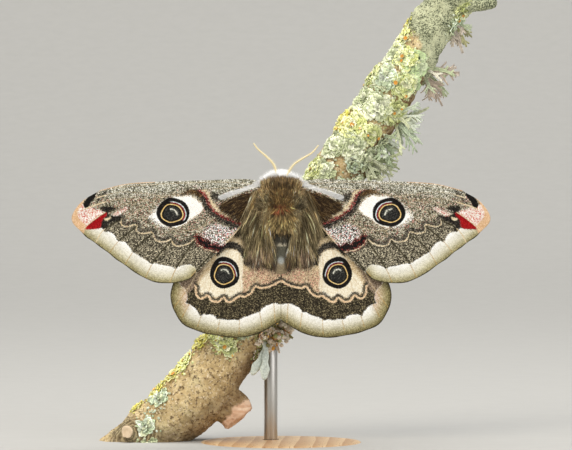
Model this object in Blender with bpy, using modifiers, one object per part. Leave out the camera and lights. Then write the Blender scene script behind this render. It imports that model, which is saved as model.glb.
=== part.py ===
"""A female emperor moth at rest with her wings spread, on a cut length of lichened twig held by a
small display stand. Metres, +Z up: the moth's head is up and her back faces -Y. The origin is the
middle of the stand's underside. Positions are given in millimetres times MM."""

import math
import random

import bmesh
import bpy
from mathutils import Matrix, Vector, noise
from mathutils.bvhtree import BVHTree

MM = 0.001
GAP = 0.3 * MM  # clearance that touching pieces keep

# The stand
BASE_RADIUS = 16 * MM
BASE_HEIGHT = 3.5 * MM
BASE_BEVEL = 0.8 * MM
ROD_RADIUS = 1.3 * MM
ROD_X = -2 * MM
SOCKET_DEPTH = 1.8 * MM

# The twig: its middle line as (x, z, radius), which a level cut ends just over the floor
TWIG_Y = 4 * MM
TWIG_CUT = 0.9 * MM
TWIG_STEPS = 30
BARK_RISE = 0.5 * MM
TWIG_LINE = [
    (-32.5, -2.0, 5.6),
    (-27.8, 2.1, 5.6),
    (-24.1, 5.5, 5.7),
    (-19.7, 8.9, 6.0),
    (-15.4, 12.9, 6.5),
    (-11.9, 18.2, 5.8),
    (-7.0, 25.0, 5.0),
    (1.7, 39.3, 4.8),
    (10.5, 54.7, 4.8),
    (20.5, 69.9, 4.6),
    (25.6, 77.6, 4.4),
    (29.6, 84.0, 4.2),
    (34.6, 91.4, 4.1),
]
# A torn side branch low on the right, a sawn knot, and a lichened side shoot near the top, each
# as the points (x, y, z, radius) of its middle line
TORN_BRANCH = [(-12.0, 2.5, 13.0, 3.9), (-9.6, 2.2, 9.8, 3.8), (-7.9, 2.0, 7.6, 3.2)]
SAWN_KNOT = [(-28.6, 1.5, 4.6, 1.6), (-29.6, -2.6, 5.4, 1.35)]
SIDE_SHOOT = [(31.5, 3.0, 87.0, 1.9), (36.6, 2.0, 87.3, 1.5), (41.4, 1.6, 88.2, 1.2)]
# Crusts of lichen as (height on the twig, angle round it, length, width, thickness)
CRUSTS = [
    (15.0, -72, 6.5, 3.0, 0.8),
    (20.5, -70, 4.5, 3.4, 0.9),
    (24.5, -20, 4.2, 5.6, 0.7),
    (25.0, 70, 4.5, 4.4, 1.7),
    (55.5, -66, 6.0, 4.4, 1.3),
    (60.0, -10, 6.0, 6.0, 1.0),
    (63.5, -82, 4.6, 3.4, 1.9),
    (67.0, 10, 6.5, 6.0, 1.1),
    (72.5, -50, 7.0, 5.0, 1.2),
    (79.5, -78, 3.4, 2.4, 1.3),
    (84.5, 70, 5.0, 4.6, 1.2),
]
# Shrubby lichens as (height on the twig, angle, number of straps, their length, drop)
TUFTS = [
    (26.5, 96, 3, 5.6, 1.0),
    (57.5, 84, 7, 7.2, 0.25),
    (65.0, 82, 6, 7.4, 0.05),
    (74.5, 88, 5, 7.0, 0.3),
    (85.5, 84, 4, 5.4, 0.9),
]

# The moth's body: middles, half sizes and how square the cores under the coat are
BODY_Z = 47.5 * MM
THORAX = Vector((0, -7.5 * MM, BODY_Z + 0.1 * MM))
THORAX_CORE = Vector((3.9, 3.5, 4.5)) * MM
CORE_POWER = 2.4
DRAPE_DROP = 14 * MM  # hanging locks follow a curve this much longer than the core
COLLAR_RISE = 9 * MM  # and those of the collar one that reaches up past the head
HEAD = Vector((0, -7.6 * MM, BODY_Z + 6.3 * MM))
HEAD_CORE = Vector((1.8, 1.6, 1.7)) * MM
EYE_RADIUS = 0.8 * MM
EYE_OFFSET = Vector((1.5, 0.6, 0.15)) * MM
ABDOMEN_LINE = [
    (0, -7.5, 46.5, 2.4),
    (0, -7.4, 44.0, 2.8),
    (0, -7.2, 42.0, 3.0),
    (0, -6.6, 39.9, 2.85),
    (0, -5.7, 37.9, 2.4),
    (0, -4.9, 36.2, 1.7),
    (0, -4.3, 34.9, 0.85),
]
ABDOMEN_RINGS = 7
RING_STEP = 0.16 * MM

# The coat's locks as rows of (latitude on the core, number round it, length, width). A row that
# lies forward runs up over the head like a collar, and the others run back towards the tail.
COLLAR_ROWS = [(46, 13, 4.0, 1.7), (60, 9, 3.4, 1.6)]
THORAX_ROWS = [
    (66, 6, 3.0, 1.8),
    (46, 11, 3.4, 2.0),
    (26, 12, 3.7, 2.1),
    (2, 13, 4.0, 2.1),
    (-24, 13, 5.0, 2.1),
    (-38, 14, 7.4, 1.9),
    (-55, 9, 5.2, 2.0),
]
HEAD_ROWS = [(0, 11, 1.5, 0.9), (30, 9, 1.5, 0.9), (58, 6, 1.4, 0.9)]
ABDOMEN_ROWS = [(0.26, 8), (0.41, 8), (0.56, 8), (0.70, 7), (0.83, 6)]
ABDOMEN_LOCK_WIDTH = 2.0
LOCK_DEPTH = 0.55 * MM
LOCK_SHARES = (0.0, 0.32, 0.62, 0.86, 1.0)
LOCK_WIDTHS = (0.85, 1.0, 0.85, 0.5, 0.0)
LIFTS = (0.0, 0.5, 1.0)  # how much further a lock's tip rises, in mm, where it meets something

# The wings: membrane, veins and the sheet in which they lie
MEMBRANE = 0.5 * MM
VEIN_RISE = 0.14 * MM
VEIN_WIDTH = 0.55 * MM
WING_SPAN_HALF = 40 * MM
WING_ROOT_Y = -8.3 * MM
WING_SWEEP_BACK = 3.0 * MM
WING_CAMBER = 0.9 * MM
WING_CHORD = 30 * MM
HIND_SET_BACK = 1.15 * MM
ROOT_CROWDING = 1.2  # above 1, the grid's stations stand closer towards the root
VEIN_END = 0.97  # share of the way out at which the raised veins run out

# Edges of the wings as (distance from the midline, height from the body's middle)
FORE_ROOT = [(1.0, 4.0), (2.0, 2.4), (2.8, 0.6)]
FORE_COSTA = [(1.0, 4.0), (2.9, 5.3), (6.6, 6.2), (14.0, 6.0), (24.0, 5.7), (29.5, 5.3), (34.5, 4.1)]
FORE_OUTER = [
    (34.5, 4.1),
    (38.1, 1.8),
    (39.95, -1.2),
    (37.9, -4.1),
    (33.9, -7.1),
    (30.2, -9.9),
    (25.2, -13.0),
    (21.0, -13.6),
    (17.6, -12.9),
    (16.2, -11.7),
]
FORE_HIND = [(2.8, 0.6), (5.5, -0.7), (9.7, -5.3), (12.4, -8.1), (16.2, -11.7)]
FORE_VEINS = [0.035, 0.18, 0.30, 0.39, 0.486, 0.58, 0.725, 0.85, 0.965]
FORE_STATIONS = 9
HIND_ROOT = [(2.4, 1.2), (2.4, -0.6), (2.2, -2.4)]
HIND_COSTA = [(2.4, 1.2), (8.0, -2.0), (14.0, -6.6), (19.0, -10.8)]
HIND_OUTER = [
    (19.0, -10.8),
    (20.7, -14.0),
    (21.0, -16.9),
    (19.2, -20.9),
    (15.4, -22.9),
    (8.8, -24.0),
    (4.2, -23.1),
    (0.3, -21.0),
]
HIND_INNER = [(2.2, -2.4), (2.0, -5.5), (0.9, -9.5), (0.3, -13.0), (0.3, -21.0)]
HIND_VEINS = [0.03, 0.17, 0.31, 0.45, 0.59, 0.74, 0.93]
HIND_STATIONS = 8

# The feelers, seen from the front as (distance to the side, height from the body's middle)
FEELER_LEFT = [(-0.75, 6.6), (-1.3, 8.8), (-2.7, 10.4), (-4.4, 11.9), (-5.2, 13.0)]
FEELER_RIGHT = [(0.95, 6.6), (2.3, 8.8), (4.1, 10.1), (5.9, 11.2), (7.1, 12.6)]
FEELER_Y = -8.9 * MM
FEELER_RADIUS = 0.27 * MM
FEELER_STEPS = 10
FEELER_TEETH = 9
TOOTH_LENGTH = 0.75 * MM

# Each leg as hip, knee and ankle, and the place of its foot as (height on the twig, angle round it)
LEG_RADII = (0.75, 0.6, 0.42, 0.3)
LEGS = {
    "foreleg_right": ((1.3, -4.7, 50.6), (4.4, -4.7, 52.3), (7.2, -3.2, 52.6), 52.2, -4),
    "foreleg_left": ((-1.3, -4.7, 50.6), (-0.6, -2.9, 52.8), (1.4, -0.9, 52.2), 47.2, -55),
    "midleg_right": ((1.7, -4.5, 47.6), (6.2, -5.2, 48.0), (10.2, -3.0, 47.0), 47.4, 44),
    "midleg_left": ((-1.7, -4.5, 47.6), (-4.6, -3.6, 48.0), (-2.9, -0.1, 46.6), 43.0, -62),
    "hindleg_right": ((1.5, -4.7, 45.0), (5.5, -4.6, 41.6), (7.6, -2.0, 38.0), 36.0, 62),
    "hindleg_left": ((-1.5, -4.7, 45.0), (-4.9, -4.4, 42.2), (-5.7, -1.2, 38.4), 33.5, -58),
}


def clear_scene():
    for old in list(bpy.data.objects):
        bpy.data.objects.remove(old)


def collection(name):
    made = bpy.data.collections.new(name)
    bpy.context.scene.collection.children.link(made)
    return made


def material(name, colour, roughness=0.8, metallic=0.0):
    made = bpy.data.materials.new(name)
    made.use_nodes = True
    shader = made.node_tree.nodes["Principled BSDF"]
    shader.inputs["Base Color"].default_value = (*colour, 1)
    shader.inputs["Roughness"].default_value = roughness
    shader.inputs["Metallic"].default_value = metallic
    made.diffuse_color = (*colour, 1)
    return made


def place(name, mesh, paint=None):
    """A named object for the mesh in the moth's collection. One without paint is only a tool."""
    made = bpy.data.objects.new(name, mesh)
    (MODEL if paint else CUTTERS).objects.link(made)
    if paint:
        made.data.materials.clear()
        made.data.materials.append(paint)
    else:
        made.hide_render = True
        made.display_type = "WIRE"
    return made


def to_model(obj, name, paint):
    """Names an object that an operator has just made, and moves it to the moth's collection."""
    obj.name = name
    for owner in list(obj.users_collection):
        owner.objects.unlink(obj)
    MODEL.objects.link(obj)
    obj.data.materials.append(paint)


def evaluated_mesh(obj, weld=0.001 * MM):
    """The object's mesh with its modifiers applied, or a curve's own mesh, its caps welded."""
    bpy.context.view_layer.update()
    graph = bpy.context.evaluated_depsgraph_get()
    mesh = bpy.data.meshes.new_from_object(obj.evaluated_get(graph))
    mesh.transform(obj.matrix_world)
    bm = bmesh.new()
    bm.from_mesh(mesh)
    bmesh.ops.remove_doubles(bm, verts=bm.verts, dist=weld)
    bm.to_mesh(mesh)
    bm.free()
    return mesh


def smooth_line(points, steps=16):
    """Points close together on the smooth curve through the given ones."""
    points = [Vector(p) for p in points]
    ends = [2 * points[0] - points[1], *points, 2 * points[-1] - points[-2]]
    line = []
    for a, b, c, d in zip(ends, ends[1:], ends[2:], ends[3:]):
        for i in range(steps):
            t = i / steps
            bend = (2 * a - 5 * b + 4 * c - d) * t * t + (3 * b - a - 3 * c + d) * t**3
            line.append((2 * b + (c - a) * t + bend) / 2)
    line.append(points[-1])
    return line


def rail(points):
    """A function that gives the point at a share of the length of the smooth curve."""
    line = smooth_line(points)
    marks = [0.0]
    for a, b in zip(line, line[1:]):
        marks.append(marks[-1] + (b - a).length)

    def at(share):
        goal = min(max(share, 0.0), 1.0) * marks[-1]
        for i in range(1, len(line)):
            if marks[i] >= goal:
                break
        return line[i - 1].lerp(line[i], (goal - marks[i - 1]) / (marks[i] - marks[i - 1]))

    return at


def tube(name, line, roundness=2):
    """A closed mesh tube along points (x, y, z, radius), all in metres."""
    curve = bpy.data.curves.new(name, "CURVE")
    curve.dimensions = "3D"
    curve.bevel_depth = MM
    curve.bevel_resolution = roundness
    curve.use_fill_caps = True
    spline = curve.splines.new("POLY")
    spline.points.add(len(line) - 1)
    for point, (x, y, z, radius) in zip(spline.points, line):
        point.co = (x, y, z, 1)
        point.radius = radius / MM
    made = place(name, curve)
    mesh = evaluated_mesh(made)
    bpy.data.objects.remove(made)
    mesh.name = name
    return mesh


def in_mm(line):
    return [tuple(value * MM for value in point) for point in line]


def cut(obj, cutter):
    step = obj.modifiers.new("cut_" + cutter.name, "BOOLEAN")
    step.operation = "DIFFERENCE"
    step.object = cutter
    step.solver = "MANIFOLD"  # EXACT loses one hindwing


def fuse(name, body, pieces, paint):
    """One closed node: the body mesh joined with its pieces by one Boolean union."""
    made = place(name, body, paint)
    extras = collection(name + "_pieces")
    for i, piece in enumerate(pieces):
        extras.objects.link(bpy.data.objects.new(f"{name}_piece_{i}", piece))
    step = made.modifiers.new("fuse", "BOOLEAN")
    step.operand_type = "COLLECTION"
    step.collection = extras
    step.operation = "UNION"
    step.solver = "MANIFOLD"
    joined = evaluated_mesh(made)
    made.modifiers.clear()
    made.data = joined
    for extra in list(extras.objects):
        bpy.data.objects.remove(extra)
    bpy.data.collections.remove(extras)
    return made


def keep_largest(obj, weld=0.001 * MM):
    """Applies the node's cuts and leaves only its largest closed surface."""
    mesh = evaluated_mesh(obj, weld)
    bm = bmesh.new()
    bm.from_mesh(mesh)
    islands = []
    waiting = set(bm.faces)
    while waiting:
        front = [waiting.pop()]
        island = set(front)
        while front:
            near = {f for edge in front.pop().edges for f in edge.link_faces} & waiting
            waiting -= near
            island |= near
            front.extend(near)
        islands.append(island)
    islands.sort(key=lambda faces: sum(f.calc_area() for f in faces))
    scraps = [f for island in islands[:-1] for f in island]
    bmesh.ops.delete(bm, geom=scraps, context="FACES")
    bm.to_mesh(mesh)
    bm.free()
    obj.modifiers.clear()
    obj.data = mesh


class Core:
    """A squarish egg under a coat. Its lower half may hang further down than its upper half."""

    def __init__(self, centre, radii, power=CORE_POWER, drop=None):
        self.centre = centre
        self.radii = radii
        self.power = power
        self.drop = drop or radii.z

    def shares(self, point):
        x, y, z = point - self.centre
        return (x / self.radii.x, y / self.radii.y, z / (self.radii.z if z > 0 else self.drop))

    def reach(self, point):
        """How far out the point lies: 1 on the surface."""
        return sum(abs(s) ** self.power for s in self.shares(point)) ** (1 / self.power)

    def nearest(self, point):
        return self.centre + (point - self.centre) / self.reach(point)

    def normal(self, point):
        slopes = [math.copysign(abs(s) ** (self.power - 1), s) for s in self.shares(point)]
        return Vector((s / r for s, r in zip(slopes, self.radii))).normalized()

    def toward(self, latitude, around):
        """The surface point at a latitude, and at an angle from the side that faces the viewer."""
        up, turn = math.radians(latitude), math.radians(around)
        way = Vector((math.sin(turn) * math.cos(up), -math.cos(turn) * math.cos(up), math.sin(up)))
        return self.nearest(self.centre + Vector(w * r for w, r in zip(way, self.radii)))

    def mesh(self, name, segments, rings, extra=0.0):
        grown = Core(self.centre, self.radii + Vector((extra, extra, extra)), self.power)
        bm = bmesh.new()
        bmesh.ops.create_uvsphere(bm, u_segments=segments, v_segments=rings, radius=1)
        for vertex in bm.verts:
            spot = Vector(c * r for c, r in zip(vertex.co, grown.radii))
            vertex.co = grown.nearest(self.centre + spot)
        mesh = bpy.data.meshes.new(name)
        bm.to_mesh(mesh)
        bm.free()
        mesh.shade_smooth()
        return mesh


# The stand and the twig


def make_stand():
    bpy.ops.mesh.primitive_cylinder_add(
        vertices=40, radius=BASE_RADIUS, depth=BASE_HEIGHT, location=(0, 0, BASE_HEIGHT / 2)
    )
    base = bpy.context.object
    to_model(base, "stand_base", WOOD)
    edge = base.modifiers.new("rounded", "BEVEL")
    edge.width = BASE_BEVEL
    edge.segments = 2
    bottom = BASE_HEIGHT - SOCKET_DEPTH
    hole = ROD_RADIUS + GAP
    over = BASE_HEIGHT + MM
    socket = [(ROD_X, TWIG_Y, bottom, hole), (ROD_X, TWIG_Y, over, hole)]
    cut(base, place("base_socket", tube("socket", socket, 4)))
    top = twig_underside(ROD_X) + SOCKET_DEPTH
    rod = [(ROD_X, TWIG_Y, bottom + GAP, ROD_RADIUS), (ROD_X, TWIG_Y, top, ROD_RADIUS)]
    place("stand_rod", tube("stand_rod", rod, 4), STEEL)
    return top


def twig_at(share):
    """Centre, direction and radius of the twig at a share of its length."""
    x, z, radius = TWIG_RAIL(share) * MM
    ahead = TWIG_RAIL(min(share + 0.01, 1.0))
    behind = TWIG_RAIL(max(share - 0.01, 0.0))
    along = Vector((ahead.x - behind.x, 0, ahead.y - behind.y)).normalized()
    return Vector((x, TWIG_Y, z)), along, radius


def share_at_height(height):
    """The share of the twig's length at which its middle line has this height."""
    low, high = 0.0, 1.0
    for _ in range(30):
        middle = (low + high) / 2
        if twig_at(middle)[0].z < height:
            low = middle
        else:
            high = middle
    return low


def on_twig(share, angle, lift=0.0):
    """A point over the twig's bark. Angle 0 faces the viewer, and 90 is the lower right flank."""
    centre, along, radius = twig_at(share)
    front = Vector((0, -1, 0))
    side = along.cross(front)
    turn = math.radians(angle)
    out = front * math.cos(turn) + side * math.sin(turn)
    return centre + out * (radius + lift), out


def twig_underside(x):
    """Height of the twig's lower flank over the place x on the stand."""
    flank = (on_twig(share / 200, 90)[0] for share in range(201))
    return min(flank, key=lambda point: abs(point.x - x)).z


def bark(mesh):
    """Moves a mesh's points in and out by a soft noise, as ridged bark does."""
    for vertex in mesh.vertices:
        amount = noise.fractal(vertex.co / (4 * MM), 1.0, 2.0, 3)
        vertex.co += vertex.normal * amount * BARK_RISE


def flatten(mesh, centre, normal, share):
    """Squeezes a mesh along a direction through a point."""
    for vertex in mesh.vertices:
        away = (vertex.co - centre).dot(normal)
        vertex.co -= normal * away * (1 - share)


def crust(height, angle, length, width, thickness):
    """A low, lumpy cushion of leafy lichen on the bark."""
    share = share_at_height(height * MM)
    root, out = on_twig(share, angle, -0.35 * MM)
    along = twig_at(share)[1]
    turn = Matrix((along.cross(out), along, out)).transposed().to_4x4()
    bm = bmesh.new()
    bmesh.ops.create_icosphere(bm, subdivisions=2, radius=MM)
    for vertex in bm.verts:
        vertex.co *= 1 + 0.45 * noise.noise(vertex.co / MM * 1.6 + Vector((height, 0, 0)))
    bmesh.ops.scale(bm, vec=(width / 2, length / 2, thickness), verts=bm.verts)
    bmesh.ops.transform(bm, matrix=Matrix.Translation(root) @ turn, verts=bm.verts)
    mesh = bpy.data.meshes.new("crust")
    bm.to_mesh(mesh)
    bm.free()
    return mesh


def tuft(height, angle, count, length, drop, draw):
    """A shrubby lichen: flat straps that fan out from one root and curl at their ends."""
    share = share_at_height(height * MM)
    along = twig_at(share)[1]
    straps = []
    for i in range(count):
        fan = (i + 0.5) / count * 2 - 1
        root, out = on_twig(share + 0.006 * fan, angle + draw.uniform(-26, 26), -0.7 * MM)
        way = (out + along * fan * 0.8 + Vector((0, 0, -drop))).normalized()
        size = length * MM * draw.uniform(0.75, 1.0)
        curl = Vector((0, draw.uniform(-0.3, 0.3), draw.uniform(-0.25, 0.35)))
        path = [root + way * size * k + curl * size * k * k for k in LOCK_SHARES]
        across = way.cross(Vector((0, 1, 0))).cross(way)
        straps.append(lock(path, [across] * len(path), 1.25 * MM * draw.uniform(0.8, 1.1), True))
    return straps


def make_twig(rod_top):
    line = []
    for i in range(TWIG_STEPS + 1):
        centre, _, radius = twig_at(i / TWIG_STEPS)
        line.append((*centre, radius))
    body = tube("perch_twig", line, 4)
    bark(body)
    torn = tube("torn_branch", in_mm(TORN_BRANCH), 3)
    flatten(torn, Vector(TORN_BRANCH[0][:3]) * MM, Vector((0, 1, 0)), 0.55)
    pieces = [torn, tube("knot", in_mm(SAWN_KNOT), 2), tube("shoot", in_mm(SIDE_SHOOT), 1)]
    pieces += [crust(*sizes) for sizes in CRUSTS]
    draw = random.Random(5)
    for sizes in TUFTS:
        pieces += tuft(*sizes, draw)
    twig = fuse("perch_twig", body, pieces, BARK)
    hole = ROD_RADIUS + GAP
    socket = [(ROD_X, TWIG_Y, 0, hole), (ROD_X, TWIG_Y, rod_top + GAP, hole)]
    cut(twig, place("twig_socket", tube("socket", socket, 4)))
    bpy.ops.mesh.primitive_cube_add(size=1, location=(-30 * MM, TWIG_Y, TWIG_CUT - 10 * MM))
    saw = bpy.context.object
    saw.name = "level_cut"
    saw.dimensions = (40 * MM, 30 * MM, 20 * MM)
    bpy.ops.object.transform_apply(location=False, rotation=False, scale=True)
    saw.hide_render = True
    saw.display_type = "WIRE"
    cut(twig, saw)
    keep_largest(twig, 0.02 * MM)


# The moth's wings


def wing_depth(out, up, set_back=0.0):
    """Depth of the sheet in which a wing lies, at a distance out from the midline."""
    sweep = WING_SWEEP_BACK * (out / WING_SPAN_HALF) ** 2
    drop = max(0.0, 6.5 * MM - up) / WING_CHORD
    return WING_ROOT_Y + set_back + sweep + WING_CAMBER * drop**1.5


def patch(near, far, top, bottom):
    """A function for a point of the sheet that fills four edges: s runs out, t runs down."""

    def point(s, t):
        across = near(t).lerp(far(t), s)
        down = top(s).lerp(bottom(s), t)
        corners = top(0).lerp(top(1), s).lerp(bottom(0).lerp(bottom(1), s), t)
        return across + down - corners

    return point


def vein_lines(veins, length):
    """Where the grid's lines meet the outer margin: three for each vein, and one between veins."""
    half = VEIN_WIDTH / 2 / length
    lines = [(0.0, 0.0)]
    for vein, after in zip(veins, [*veins[1:], None]):
        lines += [(vein - half, 0.0), (vein, 1.0), (vein + half, 0.0)]
        if after:
            lines.append(((vein + after) / 2, 0.0))
    lines.append((1.0, 0.0))
    return lines


def make_wing(name, side, edges, veins, stations, set_back):
    """A wing as a thin sheet with raised veins, side 1 for the right wing and -1 for the left."""
    point = patch(*(rail(edge) for edge in edges))
    margin = smooth_line(edges[1])
    length = sum((b - a).length for a, b in zip(margin, margin[1:]))
    lines = vein_lines(veins, length * MM)
    bpy.ops.mesh.primitive_grid_add(
        x_subdivisions=stations, y_subdivisions=len(lines) - 1, size=2
    )
    wing = bpy.context.object
    to_model(wing, name, WING_GREY)
    ridge = wing.vertex_groups.new(name="veins")
    for vertex in wing.data.vertices:
        s = (vertex.co.x + 1) / 2
        t, raised = lines[round((vertex.co.y + 1) / 2 * (len(lines) - 1))]
        out, up = point(s**ROOT_CROWDING, t) * MM
        vertex.co = (side * out, wing_depth(out, up, set_back), BODY_Z + up)
        ridge.add([vertex.index], raised if s < VEIN_END else 0.0, "REPLACE")
    bm = bmesh.new()
    bm.from_mesh(wing.data)
    bmesh.ops.triangulate(bm, faces=bm.faces, quad_method="FIXED")
    bm.normal_update()
    if sum(face.normal.y for face in bm.faces) > 0:
        bmesh.ops.reverse_faces(bm, faces=bm.faces)
    bm.to_mesh(wing.data)
    bm.free()
    sheet = wing.modifiers.new("membrane", "SOLIDIFY")
    sheet.thickness = MEMBRANE + 2 * VEIN_RISE
    sheet.offset = 0
    sheet.vertex_group = "veins"
    sheet.thickness_vertex_group = MEMBRANE / (MEMBRANE + 2 * VEIN_RISE)
    return wing


def make_wings(around_thorax, around_abdomen):
    fore = (FORE_ROOT, FORE_OUTER, FORE_COSTA, FORE_HIND)
    hind = (HIND_ROOT, HIND_OUTER, HIND_COSTA, HIND_INNER)
    for side, word in ((1, "right"), (-1, "left")):
        wing = make_wing(f"forewing_{word}", side, fore, FORE_VEINS, FORE_STATIONS, 0)
        cut(wing, around_thorax)
        keep_largest(wing)
        wing = make_wing(
            f"hindwing_{word}", side, hind, HIND_VEINS, HIND_STATIONS, HIND_SET_BACK
        )
        cut(wing, around_thorax)
        cut(wing, around_abdomen)
        keep_largest(wing)


# The moth's coat


def lock(path, ups, width, blunt=False):
    """A flat, tapered lock through the points, ridged on its outer side. ups point outwards."""
    bm = bmesh.new()
    rings = []
    for i, (spot, up) in enumerate(zip(path[:-1], ups)):
        along = (path[i + 1] - path[max(i - 1, 0)]).normalized()
        across = along.cross(up).normalized()
        up = across.cross(along)
        half = width / 2 * (1.0 if blunt else LOCK_WIDTHS[i])
        high = LOCK_DEPTH * (1.0 - 0.35 * LOCK_SHARES[i])
        sides = (-across * half - up * high * 0.4, across * half - up * high * 0.4)
        rings.append([bm.verts.new(spot + shift) for shift in (*sides, up * high * 0.6)])
    tip = bm.verts.new(path[-1])
    bm.faces.new(rings[0])
    for ring, following in zip(rings, rings[1:]):
        for j in range(3):
            k = (j + 1) % 3
            bm.faces.new((ring[j], ring[k], following[k], following[j]))
    for j in range(3):
        bm.faces.new((rings[-1][j], rings[-1][(j + 1) % 3], tip))
    bmesh.ops.recalc_face_normals(bm, faces=bm.faces)
    mesh = bpy.data.meshes.new("lock")
    bm.to_mesh(mesh)
    bm.free()
    return mesh


def surface_tree(obj):
    """A search tree of the object's finished surface."""
    bm = bmesh.new()
    bm.from_mesh(evaluated_mesh(obj))
    tree = BVHTree.FromBMesh(bm)
    bm.free()
    return tree


def clear_of(mesh, trees):
    """Whether a lock crosses none of the surfaces, and keeps the gap to them beyond its root."""
    bm = bmesh.new()
    bm.from_mesh(mesh)
    own = BVHTree.FromBMesh(bm)
    bm.verts.ensure_lookup_table()
    spots = [vertex.co for vertex in bm.verts[3:]]
    spots += [(edge.verts[0].co + edge.verts[1].co) / 2 for edge in bm.edges][3:]
    clear = not any(own.overlap(tree) for tree in trees)
    clear = clear and not any(tree.find_nearest(spot, GAP)[0] for tree in trees for spot in spots)
    bm.free()
    return clear


def clear_of_wings(spot, in_front):
    """Moves a point of a lock in front of the wings' roots, or behind them, by the gap."""
    out, up = abs(spot.x), spot.z - BODY_Z
    half = MEMBRANE / 2 + VEIN_RISE + GAP + LOCK_DEPTH * 0.5
    if out < 1.2 * MM:
        return spot
    if in_front:
        return Vector((spot.x, min(spot.y, wing_depth(out, up) - half), spot.z))
    return Vector((spot.x, max(spot.y, wing_depth(out, up, HIND_SET_BACK) + half), spot.z))


def core_locks(core, drape, rows, forward, trees, draw, widest=180):
    """Rows of locks on a core, which lie along the body and lift off it towards their tips."""
    locks = []
    for row, (latitude, count, length, width) in enumerate(rows):
        for i in range(count):
            around = (i + 0.5 * (row % 2)) / count * 360 - 180 + draw.uniform(-6, 6)
            root = core.toward(latitude + draw.uniform(-4, 4), around)
            spread = 0.6 * (root.x - core.centre.x) / core.radii.x + draw.uniform(-0.12, 0.12)
            way = Vector((spread, 0, 1 if forward else -1)).normalized()
            size = length * MM * draw.uniform(0.85, 1.1)
            if abs(around) > widest:
                continue
            for lift in LIFTS:
                path, ups = [], []
                for share in LOCK_SHARES:
                    ahead = root + way * size * share
                    spot = core.nearest(ahead).lerp(drape.nearest(ahead), share)
                    up = drape.normal(spot)
                    rise = -0.45 + (1.45 + lift) * share**0.6
                    spot = spot + up * rise * MM
                    if share > 0:
                        spot = clear_of_wings(spot, root.y < core.centre.y)
                    path.append(spot)
                    ups.append(up)
                made = lock(path, ups, width * MM)
                if clear_of(made, trees):
                    locks.append(made)
                    break
    return locks


def abdomen_line(extra=0.0):
    """The abdomen's middle line, each ring swelling to a step where the next begins."""
    shape = rail(ABDOMEN_LINE)
    line = []
    steps = ABDOMEN_RINGS * 3
    for i in range(steps + 1):
        x, y, z, radius = shape(i / steps) * MM
        swell = (0.0, 0.35, 1.0)[i % 3] * RING_STEP
        line.append((x, y, z, radius + swell + extra))
    return line


def abdomen_locks(trees, draw):
    """Short locks that fringe the rear edge of each ring of the abdomen."""
    shape = rail(ABDOMEN_LINE)
    locks = []
    for share, count in ABDOMEN_ROWS:
        for i in range(count):
            turn = math.radians((i + 0.5 * (count % 2)) / count * 360 + draw.uniform(-5, 5))
            side = Vector((math.sin(turn), -math.cos(turn), 0))
            path = []
            for part in LOCK_SHARES:
                x, y, z, radius = shape(min(share + 0.2 * part, 1.0)) * MM
                rise = (-0.35 + 1.2 * part**0.7) * MM
                path.append(Vector((x, y, z)) + side * (radius + rise))
            path[-1] += Vector((0, 0, -0.3 * MM))
            made = lock(path, [side] * len(path), ABDOMEN_LOCK_WIDTH * MM * (1.2 - 0.6 * share))
            if clear_of(made, trees):
                locks.append(made)
    return locks


# The moth's feelers and legs


def feeler_spot(at, share):
    x, z = at(share) * MM
    return Vector((x, FEELER_Y, BODY_Z + z))


def make_feeler(name, points, around_head):
    """A feeler: a tapered shaft with a row of short teeth on each side."""
    at = rail(points)
    line = []
    for i in range(FEELER_STEPS + 1):
        share = i / FEELER_STEPS
        line.append((*feeler_spot(at, share), FEELER_RADIUS * (1 - 0.45 * share)))
    teeth = []
    for i in range(2 * FEELER_TEETH):
        share = 0.16 + 0.78 * i / (2 * FEELER_TEETH - 1)
        side = (-1) ** i
        along = (feeler_spot(at, share + 0.02) - feeler_spot(at, share - 0.02)).normalized()
        out = Vector((-along.z * side, 0.5, along.x * side)).normalized()
        root = feeler_spot(at, share) - out * 0.05 * MM
        tip = root + (out + along * 0.45) * TOOTH_LENGTH * (1 - 0.6 * share)
        teeth.append(tube("tooth", [(*root, 0.16 * MM), (*tip, 0.07 * MM)], 0))
    feeler = fuse(name, tube(name, line, 1), teeth, FEELER)
    cut(feeler, around_head)
    keep_largest(feeler)


def leg_joints(hip, knee, ankle, height, angle):
    """The leg's five joints, the last two on the twig's bark."""
    share = share_at_height(height * MM)
    lift = LEG_RADII[3] * MM + GAP
    toe, _ = on_twig(share, angle, lift + 0.35 * MM)
    claw, _ = on_twig(share + 0.012, angle, lift + 0.2 * MM)
    return [Vector(hip) * MM, Vector(knee) * MM, Vector(ankle) * MM, toe, claw]


def make_leg(name, joints, around_thorax, around_abdomen):
    """A leg from under the thorax to a foot that lies on the twig."""
    radii = [*LEG_RADII, LEG_RADII[3] * 0.6]
    line = []
    for a, b, start, end in zip(joints, joints[1:], radii, radii[1:]):
        for k, swell in ((0, 1), (0.5, 1.15), (0.92, 1.0)):
            width = (start + (end - start) * k) * swell
            line.append((*a.lerp(b, k), width * MM))
    line.append((*joints[-1], radii[-1] * MM))
    leg = place(name, tube(name, line, 1), LEG_FUR)
    cut(leg, around_thorax)
    cut(leg, around_abdomen)
    keep_largest(leg)


# The moth


def trees_of(*words):
    """Search trees of the moth's nodes whose names start with one of the words."""
    return [surface_tree(obj) for obj in MODEL.objects if obj.name.startswith(words)]


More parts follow.
